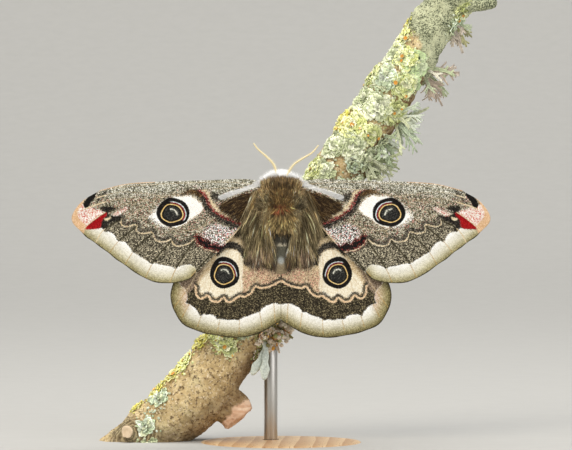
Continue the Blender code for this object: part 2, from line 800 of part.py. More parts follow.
def make_moth():
    thorax = Core(THORAX, THORAX_CORE)
    drape = Core(THORAX, THORAX_CORE, drop=DRAPE_DROP)
    head = Core(HEAD, HEAD_CORE, 2.0)
    around_thorax = place("thorax_cutter", thorax.mesh("cutter", 20, 14, GAP))
    around_head = place("head_cutter", head.mesh("cutter", 16, 10, GAP))
    around_abdomen = place("abdomen_cutter", tube("cutter", abdomen_line(GAP), 4))
    make_wings(around_thorax, around_abdomen)
    make_feeler("antenna_left", FEELER_LEFT, around_head)
    make_feeler("antenna_right", FEELER_RIGHT, around_head)
    for name, sizes in LEGS.items():
        make_leg(name, leg_joints(*sizes), around_thorax, around_abdomen)
    eye_cutters = []
    round_eye = Vector((EYE_RADIUS, EYE_RADIUS, EYE_RADIUS))
    for side, word in ((1, "right"), (-1, "left")):
        spot = HEAD + Vector((side * EYE_OFFSET.x, EYE_OFFSET.y, EYE_OFFSET.z))
        eye = Core(spot, round_eye, 2.0)
        place(f"eye_{word}", eye.mesh("eye", 12, 8), EYE)
        eye_cutters.append(place(f"eye_cutter_{word}", eye.mesh("cutter", 12, 8, GAP)))

    draw = random.Random(12)
    beside = trees_of("eye", "antenna", "forewing", "hindwing", "foreleg", "midleg", "hindleg")
    belly = place("belly", tube("belly", abdomen_line(), 4))
    cut(belly, around_thorax)
    skull = place("skull", head.mesh("skull", 16, 10))
    around = [*beside, surface_tree(belly), surface_tree(skull)]
    upward = Core(THORAX, Vector((THORAX_CORE.x, THORAX_CORE.y, COLLAR_RISE)))
    collar = core_locks(thorax, upward, COLLAR_ROWS, True, around, draw, 100)
    back = core_locks(thorax, drape, THORAX_ROWS, False, around, draw)
    keep_largest(fuse("thorax", thorax.mesh("thorax", 20, 14), collar + back, THORAX_FUR))

    fringe = abdomen_locks([*beside, *trees_of("thorax")], draw)
    abdomen = fuse("abdomen", tube("abdomen", abdomen_line(), 4), fringe, ABDOMEN_FUR)
    cut(abdomen, around_thorax)
    keep_largest(abdomen)

    face = core_locks(head, head, HEAD_ROWS, True, [*beside, *trees_of("thorax")], draw)
    face_node = fuse("head", head.mesh("head", 16, 10), face, HEAD_FUR)
    cut(face_node, around_thorax)
    for cutter in eye_cutters:
        cut(face_node, cutter)
    keep_largest(face_node)


clear_scene()
MODEL = collection("emperor_moth")
CUTTERS = collection("cutters")
WOOD = material("turned beech", (0.55, 0.42, 0.28), 0.5)
STEEL = material("brushed steel", (0.62, 0.62, 0.6), 0.3, 1.0)
BARK = material("bark with lichen", (0.36, 0.33, 0.22), 0.9)
THORAX_FUR = material("brown thorax hair", (0.12, 0.08, 0.05))
HEAD_FUR = material("white head hair", (0.75, 0.72, 0.68))
ABDOMEN_FUR = material("grey abdomen hair", (0.17, 0.16, 0.12))
LEG_FUR = material("brown leg hair", (0.2, 0.14, 0.1))
WING_GREY = material("grey wing scales", (0.27, 0.25, 0.24))
FEELER = material("cream feeler", (0.75, 0.62, 0.35), 0.6)
EYE = material("dark compound eye", (0.02, 0.018, 0.015), 0.25)
TWIG_RAIL = rail(TWIG_LINE)

make_twig(make_stand())
make_moth()
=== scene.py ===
"""The looks of a female emperor moth at rest with spread wings, on a cut length of lichened twig
that a small display stand holds up. Metres, +Z up, and the moth's back faces -Y."""

import math
import random

import bmesh
import bpy
import numpy as np
from mathutils import Matrix, Vector, noise
from mathutils.bvhtree import BVHTree


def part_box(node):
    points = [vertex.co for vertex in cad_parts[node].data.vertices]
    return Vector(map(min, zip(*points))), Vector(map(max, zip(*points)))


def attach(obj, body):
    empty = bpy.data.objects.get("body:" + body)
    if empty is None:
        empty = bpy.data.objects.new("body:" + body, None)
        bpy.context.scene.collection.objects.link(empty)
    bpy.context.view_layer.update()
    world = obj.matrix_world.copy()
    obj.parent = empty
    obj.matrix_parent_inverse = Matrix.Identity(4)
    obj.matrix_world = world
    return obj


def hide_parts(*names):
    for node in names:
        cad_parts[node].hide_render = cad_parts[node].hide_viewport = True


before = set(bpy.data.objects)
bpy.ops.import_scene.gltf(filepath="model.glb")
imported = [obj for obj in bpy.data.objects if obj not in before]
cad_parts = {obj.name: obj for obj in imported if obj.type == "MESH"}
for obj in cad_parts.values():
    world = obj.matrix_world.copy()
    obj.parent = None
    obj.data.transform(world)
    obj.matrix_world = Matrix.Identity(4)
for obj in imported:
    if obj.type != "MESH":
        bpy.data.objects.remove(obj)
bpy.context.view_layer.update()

# The room: a sweep of pale paper that rises behind the stand, under three large soft lamps. The
# camera looks level at the moth's back through a long lens, as the photograph does.
MM = 0.001
PHOTO_MM = 0.19 * MM  # what one pixel of the photograph spans at the wings
PHOTO_WIDTH = 572
SENSOR_MM = 36
CAMERA_AWAY = 600 * MM
CAMERA_SPOT = (0.95 * MM, -7 * MM, 45.0 * MM)  # what the middle of the photograph shows
SWEEP = [(-1.5, 0), (0.45, 0), (0.62, 0.03), (0.76, 0.11), (0.85, 0.24), (0.9, 0.42), (0.9, 2.2)]
LAMPS = [
    # name, place, size, watts, colour
    ("key", (-0.45, -0.75, 0.75), 0.7, 7.0, "FFF8EC"),
    ("fill", (0.7, -0.7, 0.25), 0.8, 2.9, "FAFAFA"),
    ("top", (0.1, 0.1, 0.9), 0.6, 6.0, "FFFFFF"),
]


def linear(code):
    """A colour given as sRGB hex, as the linear values that Blender takes."""
    parts = [int(code[i : i + 2], 16) / 255 for i in (0, 2, 4)]
    return (*(p / 12.92 if p <= 0.04045 else ((p + 0.055) / 1.055) ** 2.4 for p in parts), 1)


def add(tree, kind, feeds=None, **settings):
    """A node with its settings. Each socket takes a value, or another node's first live output."""
    node = tree.nodes.new("ShaderNode" + kind)
    for key, value in settings.items():
        setattr(node, key, value)
    for socket, feed in (feeds or {}).items():
        if isinstance(feed, bpy.types.Node):
            feed = next(o for o in feed.outputs if o.enabled)
        if isinstance(feed, bpy.types.NodeSocket):
            tree.links.new(feed, node.inputs[socket])
        else:
            node.inputs[socket].default_value = feed
    return node


def blank(name, **finish):
    """A new material, its tree, its shader with the sockets that are the same all over set, and
    the places on the piece, in metres, that its patterns read."""
    made = bpy.data.materials.new(name)
    made.use_nodes = True
    tree = made.node_tree
    shader = tree.nodes["Principled BSDF"]
    for socket, value in finish.items():
        shader.inputs[socket.replace("_", " ")].default_value = value
    return made, tree, shader, add(tree, "TexCoord").outputs["Object"]


def alone(*pieces):
    """Leaves only these pieces selected, and the first active, for the next operator."""
    bpy.ops.object.select_all(action="DESELECT")
    for piece in pieces:
        piece.select_set(True)
    if pieces:
        bpy.context.view_layer.objects.active = pieces[0]


alone()
bpy.ops.mesh.primitive_grid_add(x_subdivisions=2, y_subdivisions=len(SWEEP) - 1, size=2)
paper = bpy.context.object
paper.name = "paper_sweep"
for corner in paper.data.vertices:
    back, high = SWEEP[round((corner.co.y + 1) / 2 * (len(SWEEP) - 1))]
    corner.co = (corner.co.x * 2.2, back, high)
bend = paper.modifiers.new("bend", "SUBSURF")
bend.levels = bend.render_levels = 3
paper.data.shade_smooth()
# Uncoated paper: matt, with a faint tooth of a millimetre
sheet, tree, shader, _ = blank("matt background paper", Roughness=0.9)
grain = add(tree, "TexNoise", {"Scale": 0.9 / MM, "Detail": 4.0})
tint = add(
    tree, "Mix", {0: grain, 6: linear("B2B1AD"), 7: linear("B9B8B4")}, data_type="RGBA"
)
tree.links.new(tint.outputs[2], shader.inputs["Base Color"])
paper.data.materials.append(sheet)

for name, place, size, watts, colour in LAMPS:
    bpy.ops.object.light_add(type="AREA", location=place)
    lamp = bpy.context.object
    lamp.name = "lamp_" + name
    lamp.data.shape = "DISK"
    lamp.data.size = size
    lamp.data.energy = watts
    lamp.data.color = linear(colour)[:3]
    aim = Vector(CAMERA_SPOT) - Vector(place)
    lamp.rotation_euler = aim.to_track_quat("-Z", "Y").to_euler()

bpy.ops.object.camera_add(location=Vector(CAMERA_SPOT) - Vector((0, CAMERA_AWAY, 0)))
camera = bpy.context.object
camera.rotation_euler = (math.radians(90), 0, 0)
camera.data.sensor_width = SENSOR_MM
camera.data.lens = SENSOR_MM * CAMERA_AWAY / (PHOTO_WIDTH * PHOTO_MM)
camera.data.clip_start = 0.02
camera.data.clip_end = 20
bpy.context.scene.camera = camera
sky = bpy.data.worlds.new("soft daylight")
sky.use_nodes = True
sky.node_tree.nodes["Background"].inputs["Color"].default_value = linear("F6F6F6")
sky.node_tree.nodes["Background"].inputs["Strength"].default_value = 0.56
bpy.context.scene.world = sky
bpy.context.scene.view_settings.view_transform = "Standard"

# The stand's base: a disc turned from pale beech, its rims eased on the lathe and its faces oiled,
# with a hole bored off its middle for the rod.
BASE_HEIGHT = 3.5 * MM
BASE_RIM = [(0, 0.3), (9, 0.3), (9.6, 0), (15.0, 0), (15.6, 0.3), (16, 1.0), (16, 2.5), (15.7, 3.1)]
BASE_RIM += [(15.1, 3.45), (14.0, 3.5), (13.6, 3.38), (13.2, 3.5), (0, 3.5)]
BASE_TURNS = 128
ROD_RADIUS = 1.3 * MM
ROD_GAP = 0.3 * MM
ROD_SPOT = (-2 * MM, 4 * MM)
SOCKET_FLOOR = 1.7 * MM


def work(piece, kind, **settings):
    """Applies a modifier of this kind to the active piece."""
    tool = piece.modifiers.new(kind.lower(), kind)
    for key, value in settings.items():
        setattr(tool, key, value)
    bpy.ops.object.modifier_apply(modifier=tool.name)


def edit_all(*steps):
    """Runs operators on the whole of the active piece in edit mode."""
    bpy.ops.object.mode_set(mode="EDIT")
    bpy.ops.mesh.select_all(action="SELECT")
    for operator, settings in steps:
        operator(**settings)
    bpy.ops.object.mode_set(mode="OBJECT")


FACES_OUT = (bpy.ops.mesh.normals_make_consistent, {"inside": False})


def settle(piece, paints, slot=None, *nodes):
    """A finished piece: its materials, the body it rides on and the nodes it stands for."""
    piece.data.materials.clear()
    for paint in paints:
        piece.data.materials.append(paint)
    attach(piece, "root")
    if nodes:
        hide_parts(*nodes)


alone()
bpy.ops.mesh.primitive_circle_add(vertices=len(BASE_RIM), radius=1)
base = bpy.context.object
base.name = "base_turned"
edit_all((bpy.ops.mesh.delete, {"type": "EDGE_FACE"}))
for corner, (out, up) in zip(base.data.vertices, BASE_RIM):
    corner.co = (out * MM, 0, up * MM)
rim = bmesh.new()
rim.from_mesh(base.data)
rim.verts.ensure_lookup_table()
for a, b in zip(rim.verts[:-1], rim.verts[1:]):
    rim.edges.new((a, b))
rim.to_mesh(base.data)
rim.free()
turns = {"steps": BASE_TURNS, "render_steps": BASE_TURNS}
work(base, "SCREW", **turns, use_merge_vertices=True, merge_threshold=0.01 * MM)
edit_all(FACES_OUT)
bpy.ops.mesh.primitive_cylinder_add(
    vertices=48,
    radius=ROD_RADIUS + ROD_GAP,
    depth=2 * BASE_HEIGHT,
    location=(*ROD_SPOT, SOCKET_FLOOR + BASE_HEIGHT),
)
drill = bpy.context.object
alone(base)
work(base, "BOOLEAN", object=drill, solver="EXACT")
bpy.data.objects.remove(drill)
bpy.ops.object.shade_smooth_by_angle(angle=math.radians(32))
# Oiled beech: a low sheen over a fine straight grain
beech, tree, shader, place = blank("oiled beech", Roughness=0.42, Coat_Weight=0.12, Coat_Roughness=0.35)
# The board's rings lie almost straight across a disc this small.
turn = add(tree, "Mapping", {0: place, "Rotation": (0.0, 0.0, 0.5), "Scale": (1.0, 0.09, 1.0)})
sway = add(tree, "TexNoise", {"Vector": turn, "Scale": 0.16 / MM, "Detail": 4.0, "Distortion": 0.4})
rings = add(
    tree, "TexWave", {"Vector": turn, "Scale": 0.12 / MM, "Distortion": 5.0, "Detail": 3.0},
    wave_profile="SAW",
)
mixed = add(tree, "Mix", {0: 0.5, 2: rings.outputs["Fac"], 3: sway.outputs["Fac"]})
wood = add(tree, "ValToRGB", {0: mixed})
wood.color_ramp.elements[0].position, wood.color_ramp.elements[0].color = 0.25, linear("B98F63")
wood.color_ramp.elements[1].position, wood.color_ramp.elements[1].color = 0.75, linear("DDBD92")
# Beech's short dark flecks, the cut ends of its rays
stretch = (2.6 / MM, 0.7 / MM, 0.9 / MM)
ray = add(tree, "Mapping", {0: place, "Rotation": (0.0, 0.0, 0.5), "Scale": stretch})
flecks = add(tree, "TexVoronoi", {"Vector": ray, "Scale": 1.0, "Randomness": 1.0})
near = add(tree, "MapRange", {"Value": flecks, "From Min": 0.12, "From Max": 0.3})
toned = add(tree, "Mix", {0: near, 6: linear("9A6E45"), 7: wood}, data_type="RGBA")
tree.links.new(toned.outputs[2], shader.inputs["Base Color"])
grip = add(tree, "Bump", {"Strength": 0.25, "Distance": 0.05 * MM, "Height": mixed.outputs[0]})
tree.links.new(grip.outputs[0], shader.inputs["Normal"])
settle(base, [beech], "turned_wood", "stand_base")

# The rod: bright drawn steel with chamfered ends, glued into the base and into the twig. Drawing
# leaves faint lines along it.
foot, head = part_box("stand_rod")
alone()
bpy.ops.mesh.primitive_cylinder_add(
    vertices=64,
    radius=ROD_RADIUS,
    depth=head[2] - foot[2],
    location=(*ROD_SPOT, (head[2] + foot[2]) / 2),
    end_fill_type="NGON",
)
rod = bpy.context.object
rod.name = "rod_drawn"
bpy.ops.object.transform_apply(location=True, rotation=True, scale=True)
work(rod, "BEVEL", width=0.25 * MM, segments=2, limit_method="ANGLE")
bpy.ops.object.shade_smooth_by_angle(angle=math.radians(30))
# Bright drawn steel: the lines along it blur what it mirrors.
steel, tree, shader, place = blank("drawn steel", Metallic=1.0, Roughness=0.3)
drawn = add(tree, "Mapping", {0: place, "Scale": (9 / MM, 9 / MM, 0.06 / MM)})
lines = add(tree, "TexNoise", {"Vector": drawn, "Scale": 1.0, "Detail": 3.0})
tint = add(tree, "Mix", {0: lines, 6: linear("A5A29D"), 7: linear("CFCCC6")}, data_type="RGBA")
tree.links.new(tint.outputs[2], shader.inputs["Base Color"])
matt = add(tree, "MapRange", {"Value": lines, "To Min": 0.24, "To Max": 0.42})
tree.links.new(matt.outputs[0], shader.inputs["Roughness"])
groove = add(tree, "Bump", {"Strength": 0.15, "Distance": 0.01 * MM, "Height": lines})
tree.links.new(groove.outputs[0], shader.inputs["Normal"])
settle(rod, [steel], "rod_steel", "stand_rod")

# The twig: a lichened length of some old, wind-cut shrub. Its bark is ridged, pitted and cracked,
# a side branch has torn away low on the right, and a sawn knot faces out near the floor. Its foot
# is cut level.
BODY_Z = 47.5
TWIG_Y = 4.0
TWIG_CUT = 0.9
BARK_VOXEL = 0.28 * MM
TWIG_LINE = [
    (-32.5, -2.0, 5.6), (-27.8, 2.1, 5.6), (-24.1, 5.5, 5.7), (-19.7, 8.9, 6.0), (-15.4, 12.9, 6.5),
    (-11.9, 18.2, 5.8), (-7.0, 25.0, 5.0), (1.7, 39.3, 4.8), (10.5, 54.7, 4.8), (20.5, 69.9, 4.6),
    (25.6, 77.6, 4.4), (29.6, 84.0, 4.2), (34.6, 91.4, 4.1),
]
TORN_BRANCH = [(-12.0, 2.5, 13.0, 3.9), (-9.6, 2.2, 9.8, 3.8), (-7.9, 2.0, 7.6, 3.2)]
TORN_SQUASH = 0.55
SAWN_KNOT = [(-28.6, 1.5, 4.6, 1.6), (-29.6, -2.6, 5.4, 1.35)]
SIDE_SHOOT = [(31.5, 3.0, 87.0, 1.9), (36.6, 2.0, 87.3, 1.5), (41.4, 1.6, 88.2, 1.2)]
LUMP_RISE = 0.5
CRACK_DEPTH = 0.28
CRACK_WIDTH = 0.16  # as a share of the noise that the cracks follow
PIT_DEPTH = 0.22
PIT_EDGE = 0.25
GRIT_RISE = 0.07
PAINTED_SHADE_FROM = 0.62  # the shaded lower side starts at this share of the radius
CRUST_ABOVE = 70  # the crusty patch near the top, and the slanting line that ends it, in mm
CRUST_SLANT = 0.68
CRUST_EDGE = 80.1
TORN_REACH = 4.6  # bare torn wood, round the torn branch's tip
TORN_BACK = 2.2
SWIRL_REACH = 4.6  # old wood that swirls round the sawn knot, and the pale sawn face itself
SAWN_REACH = 1.25
UPPER_AXIS = np.array((0.549, 0, 0.836))  # the way up the upper part of the twig
TEAR_AXIS = np.array((0.6, 0, -0.8))  # the way out along the torn branch


def rounded(points, steps=8, closed=False):
    """Points close together on the smooth curve through the given ones."""
    spots = np.array(points, float)
    if closed:
        before, after, ends = np.roll(spots, 1, 0), np.roll(spots, -1, 0), np.roll(spots, -2, 0)
    else:
        spots = np.vstack([2 * spots[0] - spots[1], spots, 2 * spots[-1] - spots[-2]])
        before, after, ends = spots[:-3], spots[2:-1], spots[3:]
        spots = spots[1:-2]
    t = (np.arange(steps) / steps)[:, None, None]
    bend = (2 * before - 5 * spots + 4 * after - ends) * t**2
    bend = bend + (3 * spots - before - 3 * after + ends) * t**3
    line = (2 * spots + (after - before) * t + bend) / 2
    line = line.transpose(1, 0, 2).reshape(-1, line.shape[2])
    return line if closed else np.vstack([line, np.array(points[-1], float)])


def at_shares(points, shares):
    """The spots at these shares of the length of the smooth curve."""
    line = rounded(points, 16)
    marks = np.concatenate([[0], np.cumsum(np.linalg.norm(np.diff(line, axis=0), axis=1))])
    goal = np.clip(shares, 0, 1) * marks[-1]
    return np.stack([np.interp(goal, marks, column) for column in line.T], axis=-1)


def placed(name, data):
    """A new piece of this mesh or curve."""
    piece = bpy.data.objects.new(name, data)
    bpy.context.collection.objects.link(piece)
    return piece


def tube(name, lines, roundness=8):
    """Closed tubes in one mesh, each along points (x, y, z, radius) in mm."""
    curve = bpy.data.curves.new(name, "CURVE")
    curve.dimensions = "3D"
    curve.bevel_depth = MM
    curve.bevel_resolution = roundness
    curve.use_fill_caps = True
    for line in lines:
        spline = curve.splines.new("POLY")
        spline.points.add(len(line) - 1)
        for point, (x, y, z, radius) in zip(spline.points, line):
            point.co = (x * MM, y * MM, z * MM, 1)
            point.radius = radius
    alone(placed(name, curve))
    bpy.ops.object.convert(target="MESH")
    made = bpy.context.object
    edit_all((bpy.ops.mesh.remove_doubles, {"threshold": 0.001 * MM}), FACES_OUT)
    made.data.shade_smooth()
    return made


def corners_of(mesh, what="co"):
    """Where a mesh's corners are, or which way each faces, as one array."""
    values = np.empty(len(mesh.vertices) * 3)
    mesh.vertices.foreach_get(what, values)
    return values.reshape(-1, 3)


def weld(parts, fineness, passes):
    """Joins parts into the first of them, as one hull whose seams are eased."""
    alone(*parts)
    bpy.ops.object.join()
    work(parts[0], "REMESH", mode="VOXEL", voxel_size=fineness)
    work(parts[0], "SMOOTH", iterations=passes)
    parts[0].data.shade_smooth()


def note(mesh, name, values):
    """Stores a number, or a colour, at each corner of a mesh, for its material to read."""
    values = np.asarray(values, np.float32)
    kind, key = ("FLOAT", "value") if values.ndim == 1 else ("FLOAT_COLOR", "color")
    mesh.attributes.new(name, kind, "POINT").data.foreach_set(key, values.ravel())


def on_twig(height, angle, lift=0.0):
    """Spots over the bark's mean surface, in mm, the way out from it, and the way up the twig.

    Angle 0 faces the camera and 90 is the lower right flank."""
    line = at_shares(TWIG_LINE, np.linspace(0, 1, 400))
    height, angle = np.broadcast_arrays(np.asarray(height, float), np.radians(angle))
    x, radius = (np.interp(height, line[:, 1], line[:, axis]) for axis in (0, 2))
    ahead = np.interp(height + 0.5, line[:, 1], line[:, 0])
    behind = np.interp(height - 0.5, line[:, 1], line[:, 0])
    along = np.stack([ahead - behind, 0 * x, 0 * x + 1], axis=-1)
    along /= np.linalg.norm(along, axis=-1, keepdims=True)
    front = np.zeros_like(along) + (0.0, -1.0, 0.0)
    side = np.cross(along, front)
    out = front * np.cos(angle)[..., None] + side * np.sin(angle)[..., None]
    middle = np.stack([x, TWIG_Y + 0 * x, height], axis=-1)
    return middle + out * (radius + lift)[..., None], out, along


trunk_line = at_shares([(x, TWIG_Y, z, radius) for x, z, radius in TWIG_LINE], np.linspace(0, 1, 90))
trunk = tube("twig_bark", [trunk_line], 20)
torn = tube("torn", [at_shares(TORN_BRANCH, np.linspace(0, 1, 20))], 14)
for corner in torn.data.vertices:
    middle = TORN_BRANCH[0][1] * MM
    corner.co.y = middle + (corner.co.y - middle) * TORN_SQUASH
stubs = tube("stubs", [SAWN_KNOT, at_shares(SIDE_SHOOT, np.linspace(0, 1, 24))], 12)
weld([trunk, torn, stubs], BARK_VOXEL, 6)
spots, ways = corners_of(trunk.data) / MM, corners_of(trunk.data, "normal")
rises = []
for x, y, z in spots:
    lump = noise.fractal(Vector((x, y, z)) / 4, 1.0, 2.0, 3)
    ridge = abs(noise.noise(Vector((x * 0.82 + z * 0.52, y * 1.35, z * 0.42))))
    pit = noise.noise(Vector((x * 1.1 + 9, y * 1.1 + 3, z * 1.1 + 5)))
    grit = noise.noise(Vector((x, y, z)) * 3.2)
    rise = lump * LUMP_RISE - max(0.0, CRACK_WIDTH - ridge) / CRACK_WIDTH * CRACK_DEPTH
    rises.append(rise - max(0.0, pit - PIT_EDGE) * 2 * PIT_DEPTH + grit * GRIT_RISE)
spots += ways * np.array(rises)[:, None]
spots[:, 2] = np.maximum(spots[:, 2], TWIG_CUT)
trunk.data.vertices.foreach_set("co", (spots * MM).ravel())
bark_mesh = bmesh.new()
bark_mesh.from_mesh(trunk.data)
bark_tree = BVHTree.FromBMesh(bark_mesh)
bark_mesh.free()
line = at_shares(TWIG_LINE, np.linspace(0, 1, 160))
ahead = np.gradient(line[:, :2], axis=0)
ahead /= np.linalg.norm(ahead, axis=1, keepdims=True)
pick = np.empty(len(spots), int)
for first in range(0, len(spots), 8000):
    gap = spots[first : first + 8000, None, ::2] - line[None, :, :2]
    pick[first : first + 8000] = np.argmin((gap**2).sum(-1), axis=1)
gap = spots[:, ::2] - line[pick, :2]
across = gap[:, 0] * ahead[pick, 1] - gap[:, 1] * ahead[pick, 0]
knot = np.linalg.norm(spots - np.array(SAWN_KNOT[1][:3]), axis=1)
tear = spots - np.array(TORN_BRANCH[2][:3])
bark_fields = {
    "flank": across / line[pick, 2] - PAINTED_SHADE_FROM,
    "crust": np.where(
        line[pick, 1] > CRUST_ABOVE, spots @ UPPER_AXIS + CRUST_SLANT * across - CRUST_EDGE, -9
    ),
    "torn": np.minimum(tear @ TEAR_AXIS + TORN_BACK, TORN_REACH - np.linalg.norm(tear, axis=1)),
    "swirl": SWIRL_REACH - knot,
    "sawn": SAWN_REACH - knot,
}
for name, field in bark_fields.items():
    note(trunk.data, name, field)
# Weathered bark: dry and matt, in patches of 4 mm, with dark and chalky specks of half a
# millimetre, a green film, and sooty dots of a third of a millimetre in its crust
bark, tree, shader, place = blank("weathered bark", Roughness=0.88)
shader.inputs["Specular IOR Level"].default_value = 0.25
patches = add(tree, "TexNoise", {"Vector": place, "Scale": 0.26 / MM, "Detail": 6.0, "Roughness": 0.62})
ground = add(tree, "ValToRGB", {0: patches})
ground.color_ramp.elements[0].position, ground.color_ramp.elements[0].color = 0.32, linear("A1895F")
ground.color_ramp.elements[1].position, ground.color_ramp.elements[1].color = 0.68, linear("E4D1A2")
middle = ground.color_ramp.elements.new(0.5)
middle.color = linear("C8AF80")
film = add(tree, "TexNoise", {"Vector": place, "Scale": 0.12 / MM, "Detail": 5.0, "Roughness": 0.6})
green = add(tree, "MapRange", {"Value": film, "From Min": 0.54, "From Max": 0.68, "To Max": 0.5})
filmed = add(tree, "Mix", {0: green, 6: ground, 7: linear("A39C74")}, data_type="RGBA")
fine = add(tree, "TexNoise", {"Vector": place, "Scale": 1.5 / MM, "Detail": 5.0, "Roughness": 0.7})
dots = add(tree, "MapRange", {"Value": fine, "From Min": 0.52, "From Max": 0.6, "To Max": 0.85})
speckled = add(tree, "Mix", {0: dots, 6: filmed.outputs[2], 7: linear("54402B")}, data_type="RGBA")
pale = add(tree, "TexNoise", {"Vector": place, "Scale": 2.3 / MM, "Detail": 3.0, "Distortion": 0.4})
chalk = add(tree, "MapRange", {"Value": pale, "From Min": 0.56, "From Max": 0.66})
dusted = add(tree, "Mix", {0: chalk, 6: speckled.outputs[2], 7: linear("E2D0AE")}, data_type="RGBA")
soot = add(tree, "TexNoise", {"Vector": place, "Scale": 3.6 / MM, "Detail": 2.0, "Roughness": 0.7})
dense = add(tree, "Math", {0: patches, 1: 0.6, 2: soot}, operation="MULTIPLY_ADD")
spotty = add(tree, "MapRange", {"Value": dense, "From Min": 0.69, "From Max": 0.82})
mottled = add(tree, "Mix", {0: patches, 6: linear("BAC29C"), 7: linear("DEDFBC")}, data_type="RGBA")
crusty = add(tree, "Mix", {0: spotty, 6: linear("525A46"), 7: mottled.outputs[2]}, data_type="RGBA")
# The torn fibres run out along the branch.
run = {"Rotation": (0, math.radians(53), 0), "Scale": (0.25, 1, 2.5)}
fibres = add(tree, "Mapping", {"Vector": place, **run})
fibre = add(tree, "TexNoise", {"Vector": fibres, "Scale": 0.9 / MM, "Detail": 3.0})
torn_wood = add(tree, "Mix", {0: fibre, 6: linear("BC8058"), 7: linear("F8E4CA")}, data_type="RGBA")
grooves = add(tree, "Attribute", attribute_name="swirl").outputs["Fac"]
groove = add(tree, "Math", {0: grooves, 1: 9.0}, operation="MULTIPLY")
waves = add(tree, "Math", {0: groove}, operation="SINE")
swirls = add(tree, "MapRange", {"Value": waves, "From Min": -0.3, "From Max": 0.8})
old_wood = add(tree, "Mix", {0: swirls, 6: linear("4E4230"), 7: linear("A89877")}, data_type="RGBA")
# Each is laid over the ones before it where the bark's own field of that name is above zero.
layers = [
    # The flank layer is painted shade: a darker brown over the twig's lower right side.
    ("flank", 0.3, 0.5, linear("64492F"), 0.65), ("swirl", 0.8, 2.2, old_wood.outputs[2], 0.75),
    ("crust", 0.5, 2.4, crusty.outputs[2], 0.95), ("torn", 0.2, 1.2, torn_wood.outputs[2], 1.0),
    ("sawn", 0.08, 0.1, linear("E2CBAC"), 1.0),
]
topmost = dusted.outputs[2]
for name, soft, ragged, colour, cover in layers:
    field = add(tree, "Attribute", attribute_name=name).outputs["Fac"]
    wavy = add(tree, "MapRange", {"Value": film, "From Min": 0.3, "From Max": 0.7,
                                  "To Min": -ragged, "To Max": ragged})
    moved = add(tree, "Math", {0: field, 1: wavy})
    span = {"From Min": -soft, "From Max": soft, "To Max": cover}
    share = add(tree, "MapRange", {"Value": moved, **span})
    topmost = add(tree, "Mix", {0: share, 6: topmost, 7: colour}, data_type="RGBA").outputs[2]
tree.links.new(topmost, shader.inputs["Base Color"])
rough = add(tree, "Bump", {"Strength": 0.8, "Distance": 0.16 * MM, "Height": fine})
tree.links.new(rough.outputs[0], shader.inputs["Normal"])
settle(trunk, [bark], "lichened_bark", "perch_twig")

# Leafy lichens: rosettes of thin lobes that lie on the bark, shingled outwards from their middles,
# with pale rims that curl up. Grey-green ones crowd the upper part of the twig, and yellow-green
# ones the flanks lower down.
GREY_LOBES = ["D2D8B6", "DEE2C4", "BEC69E", "E9ECD4", "ACB490"]
GREEN_LOBES = ["C4CA8C", "D6DAA0", "AFB67A", "D4D8AE", "E4E6BC"]
YELLOW_LOBES = ["D6CE66", "E6DF84", "BDB75A", "D2CF8E", "ECE8AC"]
SULPHUR_LOBES = ["E2E6A2", "EEF0B8", "CDD38A", "DCDFA4", "F3F4D0"]
MINT_LOBES = ["CBD8BC", "D9E3CC", "B7C4A2", "E6EDDC", "CFD4B2"]
TONGUE_LOBES = ["D0DFAE", "DDE8C0", "C0D2A0"]
CLUMP_LOBES = ["D9C9B4", "E6DCCB", "8F8A58", "A7A86E", "C8B79A", "B98F6A"]
